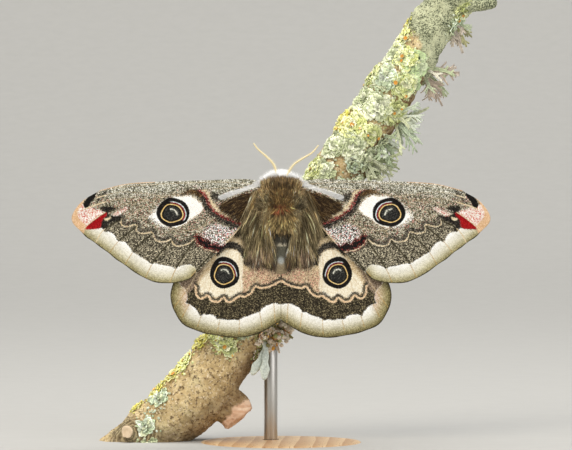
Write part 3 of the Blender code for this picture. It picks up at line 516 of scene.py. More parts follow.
# Each as height on the twig, angle, reach, number of lobes, colours
ROSETTES = [
    (5.4, -84, 1.7, 20, YELLOW_LOBES), (8.6, -80, 2.3, 34, YELLOW_LOBES),
    (8.0, -50, 2.4, 30, MINT_LOBES), (5.0, -20, 2.2, 26, MINT_LOBES),
    (3.6, 15, 2.0, 20, GREY_LOBES), (12.0, -78, 2.6, 40, YELLOW_LOBES),
    (15.5, -73, 2.6, 44, SULPHUR_LOBES), (19.5, -74, 2.6, 44, YELLOW_LOBES),
    (23.0, -62, 2.6, 46, YELLOW_LOBES), (21.8, -46, 2.2, 40, SULPHUR_LOBES),
    (21.4, -24, 2.2, 40, SULPHUR_LOBES), (21.2, -5, 1.9, 34, GREEN_LOBES),
    (25.5, -28, 2.6, 40, GREEN_LOBES), (24.8, 0, 2.2, 30, GREY_LOBES),
    (28.0, -60, 2.4, 34, YELLOW_LOBES), (25.5, 50, 2.3, 40, CLUMP_LOBES),
    (27.5, 72, 2.4, 44, CLUMP_LOBES), (25.0, 84, 2.0, 34, CLUMP_LOBES),
    (23.0, 74, 1.7, 26, CLUMP_LOBES), (30.0, 34, 2.6, 36, GREEN_LOBES),
    (33.0, 80, 2.6, 36, GREY_LOBES), (36.0, -70, 2.6, 34, GREEN_LOBES),
    (44.0, 86, 2.6, 34, GREY_LOBES), (50.0, -80, 2.8, 40, GREY_LOBES),
    (53.5, -62, 3.0, 54, GREEN_LOBES), (53.8, -26, 2.8, 40, GREY_LOBES),
    (53.2, 30, 2.4, 36, MINT_LOBES), (55.0, 62, 2.6, 44, GREY_LOBES),
    (57.6, 22, 1.9, 24, MINT_LOBES), (58.5, -44, 3.2, 62, GREY_LOBES),
    (60.0, -6, 2.9, 60, GREY_LOBES), (59.5, 50, 2.8, 50, GREY_LOBES),
    (62.5, -74, 3.0, 54, YELLOW_LOBES), (63.0, -30, 3.2, 64, SULPHUR_LOBES),
    (63.2, 16, 2.5, 46, GREEN_LOBES), (62.8, 74, 2.3, 34, GREY_LOBES),
    (67.5, -54, 3.0, 58, GREY_LOBES), (67.5, -6, 3.2, 64, GREY_LOBES),
    (68.4, 40, 2.8, 50, GREEN_LOBES), (71.5, -72, 2.8, 48, GREEN_LOBES),
    (72.0, -28, 3.0, 58, MINT_LOBES), (72.8, 20, 2.9, 54, GREEN_LOBES),
    (76.0, -52, 2.8, 50, GREY_LOBES), (76.4, -14, 2.7, 44, SULPHUR_LOBES),
    (76.6, 14, 2.6, 16, TONGUE_LOBES), (73.6, 30, 2.2, 12, TONGUE_LOBES),
    (79.4, -66, 2.5, 42, SULPHUR_LOBES), (81.6, -84, 1.3, 14, YELLOW_LOBES),
    (85.6, 72, 2.5, 46, MINT_LOBES), (88.0, 58, 2.4, 40, GREEN_LOBES),
    (89.6, -12, 1.3, 12, SULPHUR_LOBES),
    (56.0, 120, 3.0, 44, GREY_LOBES), (60.0, 170, 3.2, 46, GREEN_LOBES),
    (64.0, 220, 3.2, 46, GREY_LOBES), (68.0, 150, 3.0, 42, GREY_LOBES),
    (72.0, 200, 3.0, 42, GREEN_LOBES), (76.0, 130, 2.8, 38, GREY_LOBES),
    (80.0, 180, 2.8, 38, GREY_LOBES), (84.0, 230, 2.6, 32, GREEN_LOBES),
    (87.5, 150, 2.4, 30, GREY_LOBES), (52.0, 200, 3.0, 38, GREEN_LOBES),
    (48.0, 150, 2.8, 32, GREY_LOBES), (40.0, 210, 2.8, 30, GREEN_LOBES),
    (24.0, 150, 2.6, 28, YELLOW_LOBES), (16.0, 200, 2.6, 26, GREEN_LOBES),
]
LOBE_ACROSS, LOBE_ALONG = 5, 4
LOBE_THICK = 0.09 * MM
draw = random.Random(5)
lobe_corners, lobe_faces, lobe_tones = [], [], []
for height, angle, reach, count, colours in ROSETTES:
    middle, out, along = (Vector(v) for v in on_twig(height, angle))
    side = along.cross(out)
    for i in range(count):
        ring = math.sqrt((i + 0.5) / count)
        turn = i * 2.39996 + draw.uniform(-0.3, 0.3)
        way = side * math.cos(turn) + along * math.sin(turn)
        root = middle + way * reach * ring * 0.72
        turn += draw.uniform(-1.6, 1.6) * (1.15 - ring)
        way = side * math.cos(turn) + along * math.sin(turn)
        root = root - way * reach * 0.12
        size = reach * draw.uniform(0.26, 0.46) * (0.75 + 0.35 * ring)
        size *= 1.6 if colours is TONGUE_LOBES else 1
        wide = size * draw.uniform(0.75, 1.25)
        cross = way.cross(out)
        curl, wave = draw.uniform(0.12, 0.5), draw.uniform(0, 6.3)
        tone = Vector(linear(draw.choice(colours))[:3]) * draw.uniform(0.95, 1.4)
        first = len(lobe_corners)
        for b in range(LOBE_ALONG):
            t = b / (LOBE_ALONG - 1)
            half = wide / 2 * (0.45 + 0.75 * math.sin(math.pi * (0.15 + 0.72 * t)))
            for a in range(LOBE_ACROSS):
                s = a / (LOBE_ACROSS - 1) * 2 - 1
                notch = 0.14 * math.cos(s * 7 + wave) * t
                spot = root + way * size * (t * (1 - 0.22 * s * s) + notch) + cross * half * s
                found, normal, _, _ = bark_tree.find_nearest(spot * MM)
                rise = 0.04 + 0.16 * (1 - ring) + curl * t**2 + 0.12 * s * s * t
                rise += 0.07 * math.sin(s * 5 + wave) * t
                lobe_corners.append(found + normal * rise * MM)
                # Each lobe is darker towards its root, painted shade where it tucks under the lobes
                # around it, and paler at its curled rim, the lichen's own mealy edge.
                rim = max(t**3, abs(s) ** 4 * t)
                lobe_tones.append((*(tone * (0.5 + 0.55 * rim + 0.2 * t)), 1))
        for b in range(LOBE_ALONG - 1):
            for a in range(LOBE_ACROSS - 1):
                corner = first + b * LOBE_ACROSS + a
                lobe_faces.append((corner, corner + LOBE_ACROSS, corner + LOBE_ACROSS + 1, corner + 1))
# Dry lichen is matt and mealy: specks of 0.4 mm lighten and darken each lobe's own colour.
crust_paint, tree, shader, place = blank("leafy lichen", Roughness=0.85, Subsurface_Weight=0.0)
marked = add(tree, "Attribute", attribute_name="tone")
mealy = add(tree, "TexNoise", {"Vector": place, "Scale": 2.6 / MM, "Detail": 4.0, "Roughness": 0.7})
span = {"From Min": 0.3, "From Max": 0.7, "To Min": 0.7, "To Max": 1.25}
meal = add(tree, "MapRange", {"Value": mealy, **span})
dusty = add(
    tree, "Mix", {0: 1.0, 6: marked.outputs["Color"], 7: meal}, data_type="RGBA",
    blend_type="MULTIPLY",
)
tree.links.new(dusty.outputs[2], shader.inputs["Base Color"])
grainy = add(tree, "Bump", {"Strength": 0.7, "Distance": 0.06 * MM, "Height": mealy})
tree.links.new(grainy.outputs[0], shader.inputs["Normal"])


def grow(name, corners, faces, tones, thickness=0.0):
    """A lichen from lists, with a colour at each corner. Flat lobes are made as thick as given."""
    mesh = bpy.data.meshes.new(name)
    mesh.from_pydata(corners, [], faces)
    note(mesh, "tone", tones)
    made = placed(name, mesh)
    if thickness:
        alone(made)
        work(made, "SOLIDIFY", thickness=thickness, offset=0)
    made.data.shade_smooth()
    settle(made, [crust_paint], "lichened_bark")


grow("lichen_leafy", lobe_corners, lobe_faces, lobe_tones, LOBE_THICK)

# Shrubby lichens: flat, forking, grey-green straps that stand off the bark from one holdfast each,
# with mealy, ragged edges.
SHRUBS = [
    # height on the twig, angle, number of straps, their length, drop, colours
    (59.4, 84, 15, 7.0, 0.25, GREY_LOBES),
    (63.3, 80, 8, 5.2, 0.2, MINT_LOBES),
    (67.8, 80, 15, 7.0, -0.1, MINT_LOBES),
    (76.6, 86, 15, 6.6, 0.0, ["CFD8B8", "D9CDBE", "CBBBAA", "C3CDA8", "E0DCCB"]),
    (85.5, 84, 9, 5.4, 0.9, ["D9CDBE", "C6BBA2", "B9C4A8", "A8A67E"]),
    (27.4, 80, 16, 4.2, 0.25, CLUMP_LOBES),
    (24.4, 84, 12, 3.0, 0.1, CLUMP_LOBES),
]
STRAP_STEPS = 9
FORKS = 5
STRAP_THICK = 0.14 * MM
# A broad, two-lobed strap that hangs under the lower hindwings: each lobe as points in mm
HUNG_LOBES = [
    [(-3.4, 1.6, 22.6), (-3.1, 0.9, 21.4), (-3.7, 0.6, 19.6), (-4.7, 0.5, 17.8), (-5.6, 0.6, 16.1)],
    [(-3.3, 1.5, 22.6), (-2.9, 0.7, 21.3), (-3.0, 0.3, 19.4), (-3.1, 0.2, 17.4), (-3.2, 0.4, 15.2)],
]
strap_corners, strap_faces, strap_tones = [], [], []
nodule_spots = []


def strap(path, across, width, tone, flare=-0.55):
    """A ribbon along the path that waves and pales at its edges, and narrows or flares."""
    first = len(strap_corners)
    for i, spot in enumerate(path):
        t = i / (len(path) - 1)
        ahead = (path[min(i + 1, len(path) - 1)] - path[max(i - 1, 0)]).normalized()
        flat = (across - ahead * across.dot(ahead)).normalized()
        up = flat.cross(ahead)
        half = width / 2 * (1 + flare * t) * (1 + 0.2 * math.sin(t * 19 + width * 31))
        if flare > 0:
            half *= math.sqrt(max(0.02, 1 - max(0.0, (t - 0.78) / 0.22) ** 2))
        for s in (-1, -0.4, 0.4, 1):
            trough = up * 0.22 * width * s * s
            strap_corners.append((spot + flat * half * s + trough) * MM)
            strap_tones.append((*(tone * (0.72 + 0.35 * s * s + 0.1 * t)), 1))
    for i in range(len(path) - 1):
        for a in range(3):
            corner = first + i * 4 + a
            strap_faces.append((corner, corner + 4, corner + 5, corner + 1))


for lobe in HUNG_LOBES:
    path = [Vector(spot) for spot in at_shares(lobe, np.linspace(0, 1, 16))]
    strap(path, Vector((1, 0.25, 0)), 0.62, Vector(linear("E0EAE0")[:3]), 2.2)
for height, angle, count, length, drop, colours in SHRUBS:
    for i in range(count):
        fan = (i + 0.5) / count * 2 - 1
        turned = angle + draw.uniform(-26, 26)
        root, out, along = (Vector(v) for v in on_twig(height + 0.9 * fan, turned, -0.5))
        way = (out + along * fan * 0.85 + Vector((0, 0, -drop))).normalized()
        size = length * draw.uniform(0.55, 0.95)
        curl = Vector((draw.uniform(-0.2, 0.1), draw.uniform(-0.35, 0.35), draw.uniform(-0.35, 0.4)))
        across = way.cross(Vector((draw.uniform(-0.6, 0.6), 1, 0))).cross(way).cross(way)
        tone = Vector(linear(draw.choice(colours))[:3]) * draw.uniform(0.85, 1.1)
        path = [root + way * size * k + curl * size * k * k for k in np.linspace(0, 1, STRAP_STEPS)]
        strap(path, across, draw.uniform(0.5, 0.8), tone)
        for _ in range(FORKS):
            start = draw.uniform(0.3, 0.85)
            lean = across * draw.choice((-1, 1)) * draw.uniform(0.4, 0.9) + curl
            branch = (way + lean.normalized() * draw.uniform(0.6, 1.1)).normalized()
            tip = size * (1 - start * 0.8) * draw.uniform(0.35, 0.7)
            origin = root + way * size * start + curl * size * start * start
            hook = (branch.cross(across) + curl) * draw.uniform(-0.3, 0.5) * tip
            path = [origin + branch * tip * k + hook * k * k for k in np.linspace(0, 1, 6)]
            strap(path, across, draw.uniform(0.28, 0.48), tone * draw.uniform(0.9, 1.2))
            if colours is CLUMP_LOBES:
                nodule_spots += [path[-1], path[2]]
grow("lichen_shrubby", strap_corners, strap_faces, strap_tones, STRAP_THICK)

# Mealy crust between the rosettes, and orange fruiting discs with paler rims on them: grains and
# shallow cups no more than a millimetre across.
bpy.ops.mesh.primitive_ico_sphere_add(subdivisions=1, radius=1)
grain = bpy.context.object
grain_spots = [corner.co.copy() for corner in grain.data.vertices]
grain_faces = [tuple(face.vertices) for face in grain.data.polygons]
bpy.data.objects.remove(grain)
CUP_PROFILE = [(0.0, 0.1), (0.55, 0.12), (0.85, 0.3), (1.0, 0.38), (0.95, 0.1), (0.7, -0.3)]
CUP_SIDES = 10
CUP_ORANGES = ["E0A040", "D9963A", "E8BC66"]
CUP_BEARERS = (YELLOW_LOBES, GREEN_LOBES, CLUMP_LOBES, SULPHUR_LOBES)
cup_spots = [Vector((0, 0, CUP_PROFILE[0][1]))]
for out, up in CUP_PROFILE[1:]:
    for k in range(CUP_SIDES):
        turn = 2 * math.pi * k / CUP_SIDES
        cup_spots.append(Vector((out * math.cos(turn), out * math.sin(turn), up)))
cup_faces = [(0, 1 + k, 1 + (k + 1) % CUP_SIDES) for k in range(CUP_SIDES)]
for ring in range(len(CUP_PROFILE) - 2):
    for k in range(CUP_SIDES):
        a, b = 1 + ring * CUP_SIDES + k, 1 + ring * CUP_SIDES + (k + 1) % CUP_SIDES
        cup_faces.append((a, a + CUP_SIDES, b + CUP_SIDES, b))
last = 1 + (len(CUP_PROFILE) - 2) * CUP_SIDES
cup_faces.append(tuple(last + k for k in reversed(range(CUP_SIDES))))
crusted = []
for height, angle, reach, count, colours in ROSETTES:
    for _ in range(int(count * 0.9)):
        spread = reach * draw.uniform(0.5, 1.5)
        turn = draw.uniform(0, 2 * math.pi)
        size = draw.uniform(0.12, 0.34)
        crusted.append((height, angle, spread, turn, size, draw.choice(colours), "grain"))
    for _ in range(2 if colours in CUP_BEARERS else 0):
        spread, turn = reach * draw.uniform(0, 0.9), draw.uniform(0, 6.3)
        size = draw.uniform(0.24, 0.46)
        crusted.append((height, angle, spread, turn, size, draw.choice(CUP_ORANGES), "cup"))
bit_corners, bit_faces, bit_tones = [], [], []
for height, angle, spread, turn, size, colour, kind in crusted:
    middle, out, along = (Vector(v) for v in on_twig(height, angle))
    spot = middle + (along.cross(out) * math.cos(turn) + along * math.sin(turn)) * spread
    found, normal, _, _ = bark_tree.find_nearest(spot * MM)
    stand = normal.to_track_quat("Z", "Y").to_matrix()
    lift = 0.05 if kind == "grain" else 0.55
    shape, sides = (grain_spots, grain_faces) if kind == "grain" else (cup_spots, cup_faces)
    tone = Vector(linear(colour)[:3]) * draw.uniform(0.8, 1.15)
    first = len(bit_corners)
    for corner in shape:
        local = Vector((corner.x, corner.y, corner.z * 0.6)) * size
        bit_corners.append(found + stand @ (local + Vector((0, 0, lift))) * MM)
        rim = kind == "cup" and abs(corner.xy.length - 1) < 0.08
        bit_tones.append((*(Vector(linear("D9CDA0")[:3]) if rim else tone), 1))
    bit_faces += [tuple(first + k for k in face) for face in sides]
for spot in nodule_spots:
    size, first = draw.uniform(0.3, 0.62), len(bit_corners)
    colour = draw.choice([*CLUMP_LOBES[:2], *CLUMP_LOBES[:2], *CLUMP_LOBES, CUP_ORANGES[0]])
    tone = Vector(linear(colour)[:3]) * draw.uniform(0.85, 1.1)
    for corner in grain_spots:
        bit_corners.append((spot + corner * size * draw.uniform(0.8, 1.15)) * MM)
        bit_tones.append((*tone, 1))
    bit_faces += [tuple(first + k for k in face) for face in grain_faces]
grow("lichen_grains", bit_corners, bit_faces, bit_tones)

# The legs: five-jointed, of dark horn, with a row of short joints and a pair of claws at the foot.
# They come out of the chest under the wings and hook onto the bark.
LEG_RADII = (0.7, 0.5, 0.34, 0.2)
LEGS = {
    "foreleg_right": ((1.3, -4.7, 50.6), (4.4, -4.7, 52.3), (7.2, -3.2, 52.6), 52.2, -4),
    "foreleg_left": ((-1.3, -4.7, 50.6), (-0.6, -2.9, 52.8), (1.4, -0.9, 52.2), 47.2, -55),
    "midleg_right": ((1.7, -4.5, 47.6), (6.2, -5.2, 48.0), (10.2, -3.0, 47.0), 47.4, 44),
    "midleg_left": ((-1.7, -4.5, 47.6), (-4.6, -3.6, 48.0), (-2.9, -0.1, 46.6), 43.0, -62),
    "hindleg_right": ((1.5, -4.7, 45.0), (5.5, -4.6, 41.6), (7.6, -2.0, 38.0), 36.0, 62),
    "hindleg_left": ((-1.5, -4.7, 45.0), (-4.9, -4.4, 42.2), (-5.7, -1.2, 38.4), 33.5, -58),
}
FOOT_JOINTS = 5
FOOT_RADIUS = 0.26
TOE_RADIUS = 0.2
CLAW_LENGTH = 0.55
CLAW_RADIUS = 0.075
# Horn of the legs: brown, mottled every half millimetre, with a dull gloss
leg_horn, tree, shader, place = blank("dark leg horn", Roughness=0.4)
mottle = add(tree, "TexNoise", {"Vector": place, "Scale": 1.8 / MM, "Detail": 4.0})
horn_tint = add(tree, "Mix", {0: mottle, 6: linear("3A2A1B"), 7: linear("6B5237")}, data_type="RGBA")
tree.links.new(horn_tint.outputs[2], shader.inputs["Base Color"])
leg_paths = {}
for name, (hip, knee, ankle, height, angle) in LEGS.items():
    toe, _, _ = on_twig(height, angle, 0.85)
    claw, out, along = on_twig(height + 1.2, angle, 0.7)
    joints = [np.array(hip), np.array(knee), np.array(ankle), toe, claw]
    line = []
    for a, b, start, end in zip(joints[:2], joints[1:3], LEG_RADII, LEG_RADII[1:]):
        for k in np.linspace(0, 0.96, 9):
            swell = 1 + 0.22 * math.sin(math.pi * k)
            line.append((*(a + (b - a) * k), (start + (end - start) * k) * swell))
    for a, b, radius in ((joints[2], joints[3], FOOT_RADIUS), (joints[3], joints[4], TOE_RADIUS)):
        for joint in range(FOOT_JOINTS if a is joints[2] else 2):
            whole = FOOT_JOINTS if a is joints[2] else 2
            for k, swell in ((0.0, 0.72), (0.25, 0.9), (0.8, 1.15), (0.98, 0.9)):
                line.append((*(a + (b - a) * (joint + k) / whole), radius * swell))
    leg_paths[name] = np.array(line)
    lines = [line]
    side = np.cross(out, along)
    for way in (-1, 1):
        lines.append([
            (*(claw + side * way * 0.1 * k + (along * 0.8 + side * way * 0.5) * CLAW_LENGTH * k
               - out * 0.35 * k * k), CLAW_RADIUS * (1 - 0.8 * k))
            for k in np.linspace(0, 1, 6)
        ])
    leg = tube(name + "_jointed", lines, 5)
    settle(leg, [leg_horn], "leg_hair", name)

# The skin: one hull of dark brown horn from the head to the tail, drawn into rings on the abdomen.
# It carries the same markings as the coat, faintly, as the roots of the hair do.
THORAX = np.array((0, -7.5, 47.6)) * MM
THORAX_CORE = np.array((3.9, 3.5, 4.5)) * MM
CORE_POWER = 2.4
HEAD = np.array((0, -7.6, 53.8)) * MM
HEAD_CORE = np.array((1.75, 1.55, 1.45)) * MM
ABDOMEN_LINE = [
    (0, -7.5, 46.5, 2.4), (0, -7.4, 44.0, 2.8), (0, -7.2, 42.0, 3.0), (0, -6.6, 39.9, 2.85),
    (0, -5.7, 37.9, 2.4), (0, -4.9, 36.2, 1.7), (0, -4.3, 34.9, 0.85),
]
ABDOMEN_RINGS = 7
RING_STEP = 0.16
SKIN_VOXEL = 0.24 * MM

# The coat's colours as seen from behind the moth: (distance right of the midline, height from the
# body's middle, reach across, reach up and down, colour). The left side mirrors the right one.
TINTS = [
    (0.0, 4.2, 5.0, 2.6, "6C5632"),
    (0.6, 5.6, 2.6, 1.4, "584527"),
    (2.9, 5.9, 1.6, 1.0, "483A20"),
    (0.0, 7.0, 2.0, 0.5, "3A2D1A"),
    (3.1, 3.9, 1.2, 1.5, "BFA070"),
    (0.9, 2.6, 1.3, 1.8, "7A6038"),
    (2.7, 2.3, 0.9, 1.3, "8E8262"),
    (0.4, 0.5, 0.6, 0.4, "7F462C"),
    (0.0, -0.6, 2.4, 1.0, "75623E"),
    (1.2, -2.0, 1.8, 1.5, "82714A"),
    (4.6, 0.4, 1.9, 3.2, "74674C"),
    (5.6, -4.4, 1.9, 3.0, "7F7254"),
    (2.6, -3.6, 1.0, 2.2, "8E7F5E"),
    (2.6, -8.0, 1.0, 2.2, "7E6E50"),
    (1.5, -9.6, 0.6, 1.6, "4B3B28"),
    (4.2, -7.6, 1.6, 1.4, "97816B"),
    (0.0, -3.6, 2.4, 0.7, "7A6543"),
    (0.0, -5.2, 2.4, 0.7, "575243"),
    (0.0, -6.2, 2.0, 0.24, "E6DABC"),
    (0.0, -7.7, 1.5, 0.95, "66634F"),
    # Painted highlight: the bluish-white glint on the abdomen's dark tip, drawn as a small pale tuft.
    (0.0, -9.3, 0.4, 0.6, "E6EEEC"),
    (0.0, -10.9, 0.9, 1.1, "C8B48E"),
]
UNDER_TINT = "5E4B35"
WHITE_HAIR = ["F2EFEA", "FDFBF9", "FFFFFF", "E6E0D8"]


class Egg:
    """A squarish egg. Its lower half may hang further down than its upper half rises."""

    def __init__(self, centre, radii, power=CORE_POWER, drop=None):
        self.centre, self.radii, self.power = centre, radii, power
        self.drop = drop or radii[2]

    def shares(self, spots):
        shares = (spots - self.centre) / self.radii
        below = shares[..., 2] < 0
        shares[..., 2] = np.where(below, shares[..., 2] * self.radii[2] / self.drop, shares[..., 2])
        return shares

    def nearest(self, spots):
        reach = (abs(self.shares(spots)) ** self.power).sum(-1) ** (1 / self.power)
        return self.centre + (spots - self.centre) / reach[..., None]

    def normal(self, spots):
        shares = self.shares(spots)
        slopes = np.sign(shares) * abs(shares) ** (self.power - 1) / self.radii
        return slopes / np.linalg.norm(slopes, axis=-1, keepdims=True)

    def toward(self, latitude, around):
        """Surface points at a latitude and an angle from the side that faces the camera."""
        up, turn = np.radians(latitude), np.radians(around)
        ways = [np.sin(turn) * np.cos(up), -np.cos(turn) * np.cos(up), np.sin(up)]
        return self.nearest(self.centre + np.stack(ways, axis=-1) * self.radii)


def coat_colour(spots, draw=None):
    """The coat's colour over each spot, or one hair's colour drawn from the mix of colours there."""
    out, up = abs(spots[:, 0]) / MM, spots[:, 2] / MM - BODY_Z
    pulls = [
        np.exp(-(((out - x) / wide) ** 2) - ((up - z) / high) ** 2) for x, z, wide, high, _ in TINTS
    ]
    pulls = np.array(pulls) + 1e-6
    behind = np.clip((spots[:, 1] / MM + 6.8) / 1.2, 0, 1)
    pulls = np.vstack([pulls * (1 - behind), behind + 1e-6])
    shares = pulls**1.5
    shares = shares / shares.sum(0)
    colours = np.array([linear(code)[:3] for *_, code in TINTS] + [linear(UNDER_TINT)[:3]])
    if draw is None:
        return shares.T @ colours
    pick = (shares.cumsum(0) < draw.random(len(spots))).sum(0)
    return colours[np.minimum(pick, len(colours) - 1)]


def body_place(spots):
    """Where each spot lies on an unwrap of the body: the way round it, and the height along it."""
    turn = np.arctan2(spots[:, 0], -(spots[:, 1] - THORAX[1])) / (2 * math.pi) + 0.5
    return np.stack([turn * 0.99, (spots[:, 2] / MM - 30) / 30 * 0.99], axis=1)


alone()
parts = []
for centre, core, power in ((THORAX, THORAX_CORE, CORE_POWER), (HEAD, HEAD_CORE, 2.0)):
    bpy.ops.mesh.primitive_uv_sphere_add(segments=96, ring_count=64, radius=1)
    part = bpy.context.object
    spots = Egg(centre, core, power).nearest(centre + corners_of(part.data) * core)
    part.data.vertices.foreach_set("co", spots.ravel())
    parts.append(part)
abdomen = at_shares(ABDOMEN_LINE, np.linspace(0, 1, 106))
ring = np.linspace(0, ABDOMEN_RINGS, 106) % 1.0
abdomen[:, 3] += RING_STEP * np.where(ring > 0.85, (1 - ring) / 0.15, ring / 0.85)
parts.append(tube("abdomen", [abdomen], 12))
weld(parts, SKIN_VOXEL, 3)
skin = parts[0]
skin.name = "body_skin"
spots = corners_of(skin.data)
note(skin.data, "tone", np.column_stack([coat_colour(spots), np.ones(len(spots))]))
# Horn under the coat: pitted where hairs are rooted, a fifth of a millimetre apart
horn, tree, shader, place = blank("horn under the coat", Roughness=0.5, Sheen_Weight=0.2)
marked = add(tree, "Attribute", attribute_name="tone")
pores = add(tree, "TexVoronoi", {"Vector": place, "Scale": 5.2 / MM})
depth = add(tree, "MapRange", {"Value": pores, "To Min": 0.3, "To Max": 0.75})
dark = add(
    tree, "Mix", {0: 1.0, 6: marked.outputs["Color"], 7: depth}, data_type="RGBA",
    blend_type="MULTIPLY",
)
tree.links.new(dark.outputs[2], shader.inputs["Base Color"])
dimple = add(tree, "Bump", {"Strength": 0.5, "Distance": 0.05 * MM, "Height": pores})
tree.links.new(dimple.outputs[0], shader.inputs["Normal"])
settle(skin, [horn], "brown_hair", "thorax", "head", "abdomen")

# The eyes: near globes of dark glossy horn built up of thousands of six-sided lenses. The lenses
# are drawn four times life size, as finer ones would melt into one smooth gloss.
EYE_RADIUS = 0.8 * MM
EYE_OFFSET = np.array((1.5, 0.6, 0.15)) * MM
LENS = 0.11 * MM
# The lenses' glossy horn, which mirrors the lamps as one sharp point
lens_paint, tree, shader, place = blank(
    "faceted black eye", Roughness=0.12, Coat_Weight=0.6, Coat_Roughness=0.08, IOR=1.55
)
cells = add(tree, "TexVoronoi", {"Vector": place, "Scale": 1 / LENS, "Randomness": 0.15})
cells_tint = add(
    tree, "Mix", {0: cells, 6: linear("3A2A1E"), 7: linear("0B0807")}, data_type="RGBA"
)
tree.links.new(cells_tint.outputs[2], shader.inputs["Base Color"])
dome = add(tree, "Bump", {"Strength": 0.6, "Distance": 0.02 * MM, "Height": cells}, invert=True)
tree.links.new(dome.outputs[0], shader.inputs["Normal"])
for side, word in ((1, "right"), (-1, "left")):
    alone()
    spot = HEAD + EYE_OFFSET * (side, 1, 1)
    bpy.ops.mesh.primitive_ico_sphere_add(subdivisions=5, radius=EYE_RADIUS, location=tuple(spot))
    eye = bpy.context.object
    eye.name = f"eye_{word}_faceted"
    # A moth's eye is a little flatter towards the front than a ball.
    eye.scale = (0.97, 1.0, 0.97)
    bpy.ops.object.transform_apply(location=True, rotation=True, scale=True)
    eye.data.shade_smooth()
    settle(eye, [lens_paint], "compound_eye", "eye_" + word)

# The wings: thin membranes stretched between raised veins and tiled with flat scales a seventh of
# a millimetre across, each of one colour. They are hinged under the coat of the thorax, and the
# forewings lie over the hindwings.
WING_ROOT_Y = -8.3
WING_SWEEP_BACK = 3.0
WING_CAMBER = 0.9
WING_CHORD = 30
WING_SPAN_HALF = 40
HIND_SET_BACK = 1.15
WING_THICK = 0.13 * MM
VEIN_REACH = 0.2
PLEAT = 0.07
WAVER = 0.16
SCALLOP = 0.0018
SCALE_SIZE = 0.14  # mm: a little over life, so that single scales still show
ROOT_CROWDING = 1.2
INSIDE_BLUR = 0.08

# Edges of the wings, and all that is drawn on them, as (distance from the midline, height from
# the body's middle) in mm
FORE_ROOT = [(1.0, 4.0), (2.0, 2.4), (2.8, 0.6)]
FORE_COSTA = [(1.0, 4.0), (2.9, 5.3), (6.6, 6.2), (14.0, 6.0), (24.0, 5.7), (29.5, 5.3), (34.5, 4.1)]
FORE_OUTER = [
    (34.5, 4.1), (38.1, 1.8), (39.95, -1.2), (37.9, -4.1), (33.9, -7.1), (30.2, -9.9),
    (25.2, -13.0), (21.0, -13.6), (17.6, -12.9), (16.2, -11.7),
]
FORE_HIND = [(2.8, 0.6), (5.5, -0.7), (9.7, -5.3), (12.4, -8.1), (16.2, -11.7)]
FORE_NOTCHES = [0.18, 0.30, 0.39, 0.486, 0.58, 0.725, 0.85]
FORE_VEINS = [
    [(1.5, 4.8), (10.0, 5.6), (20.0, 5.4), (28.0, 4.9), (33.5, 4.2)],
    [(1.5, 4.2), (8.0, 4.6), (14.0, 4.2), (20.0, 3.3), (24.0, 2.4)],
    [(22.0, 2.9), (27.0, 3.6), (31.0, 3.7), (35.0, 2.7)],
    [(25.0, 2.2), (30.0, 2.5), (34.0, 1.7), (38.4, 0.2)],
    [(24.0, 2.4), (27.0, 1.9), (30.5, 1.3), (33.3, 0.0), (36.0, -1.8), (38.4, -4.0)],
    [(24.0, 2.2), (26.0, 0.8), (28.4, -0.6), (30.4, -1.5), (33.8, -3.5), (35.4, -6.1)],
    [(24.6, -0.5), (27.5, -2.8), (30.9, -5.6), (32.8, -8.0)],
    [(23.2, -2.0), (24.4, -4.1), (26.4, -5.7), (28.2, -7.7), (29.8, -10.2)],
    [(19.8, -3.5), (20.8, -5.4), (23.1, -8.0), (24.5, -9.9), (25.9, -12.8)],
    [(15.5, -3.1), (16.3, -5.2), (18.2, -8.0), (19.9, -10.7), (21.1, -13.4)],
    [(2.5, 1.5), (8.0, -0.2), (12.5, -1.3), (15.5, -3.1), (19.8, -3.5), (23.2, -2.0)],
    [(3.0, 1.0), (8.0, -3.0), (12.5, -7.3), (15.0, -10.0), (17.0, -12.2)],
    [(24.0, 2.4), (24.6, -0.5), (23.2, -2.0)],
]
HIND_ROOT = [(2.4, 1.2), (2.4, -0.6), (2.2, -2.4)]
HIND_COSTA = [(2.4, 1.2), (8.0, -2.0), (14.0, -6.6), (19.0, -10.8)]
HIND_OUTER = [
    (19.0, -10.8), (20.7, -14.0), (21.0, -16.9), (19.2, -20.9), (15.4, -22.9), (8.8, -24.0),
    (4.2, -23.1), (0.05, -20.8),
]
HIND_INNER = [(2.2, -2.4), (2.0, -5.5), (0.8, -9.5), (0.05, -13.0), (0.05, -21.0)]
HIND_NOTCHES = [0.17, 0.31, 0.45, 0.59, 0.74, 0.93]
HIND_VEINS = [
    [(4.0, 0.0), (9.0, -3.4), (14.0, -8.0), (17.0, -13.5), (20.6, -18.5)],
    [(3.5, -0.6), (7.5, -4.6), (11.5, -9.5), (14.6, -13.6), (16.4, -15.6), (18.9, -20.2)],
    [(9.6, -7.0), (12.6, -11.5), (13.9, -15.7), (15.9, -21.9)],
    [(9.6, -7.0), (10.9, -11.5), (10.8, -15.8), (12.1, -22.8)],
    [(7.5, -5.4), (8.0, -10.0), (7.7, -15.4), (8.0, -23.3)],
    [(3.0, -2.0), (5.0, -7.0), (4.8, -13.8), (3.6, -22.0)],
    [(2.6, -2.4), (2.6, -8.0), (1.7, -13.5), (1.1, -21.0)],
]

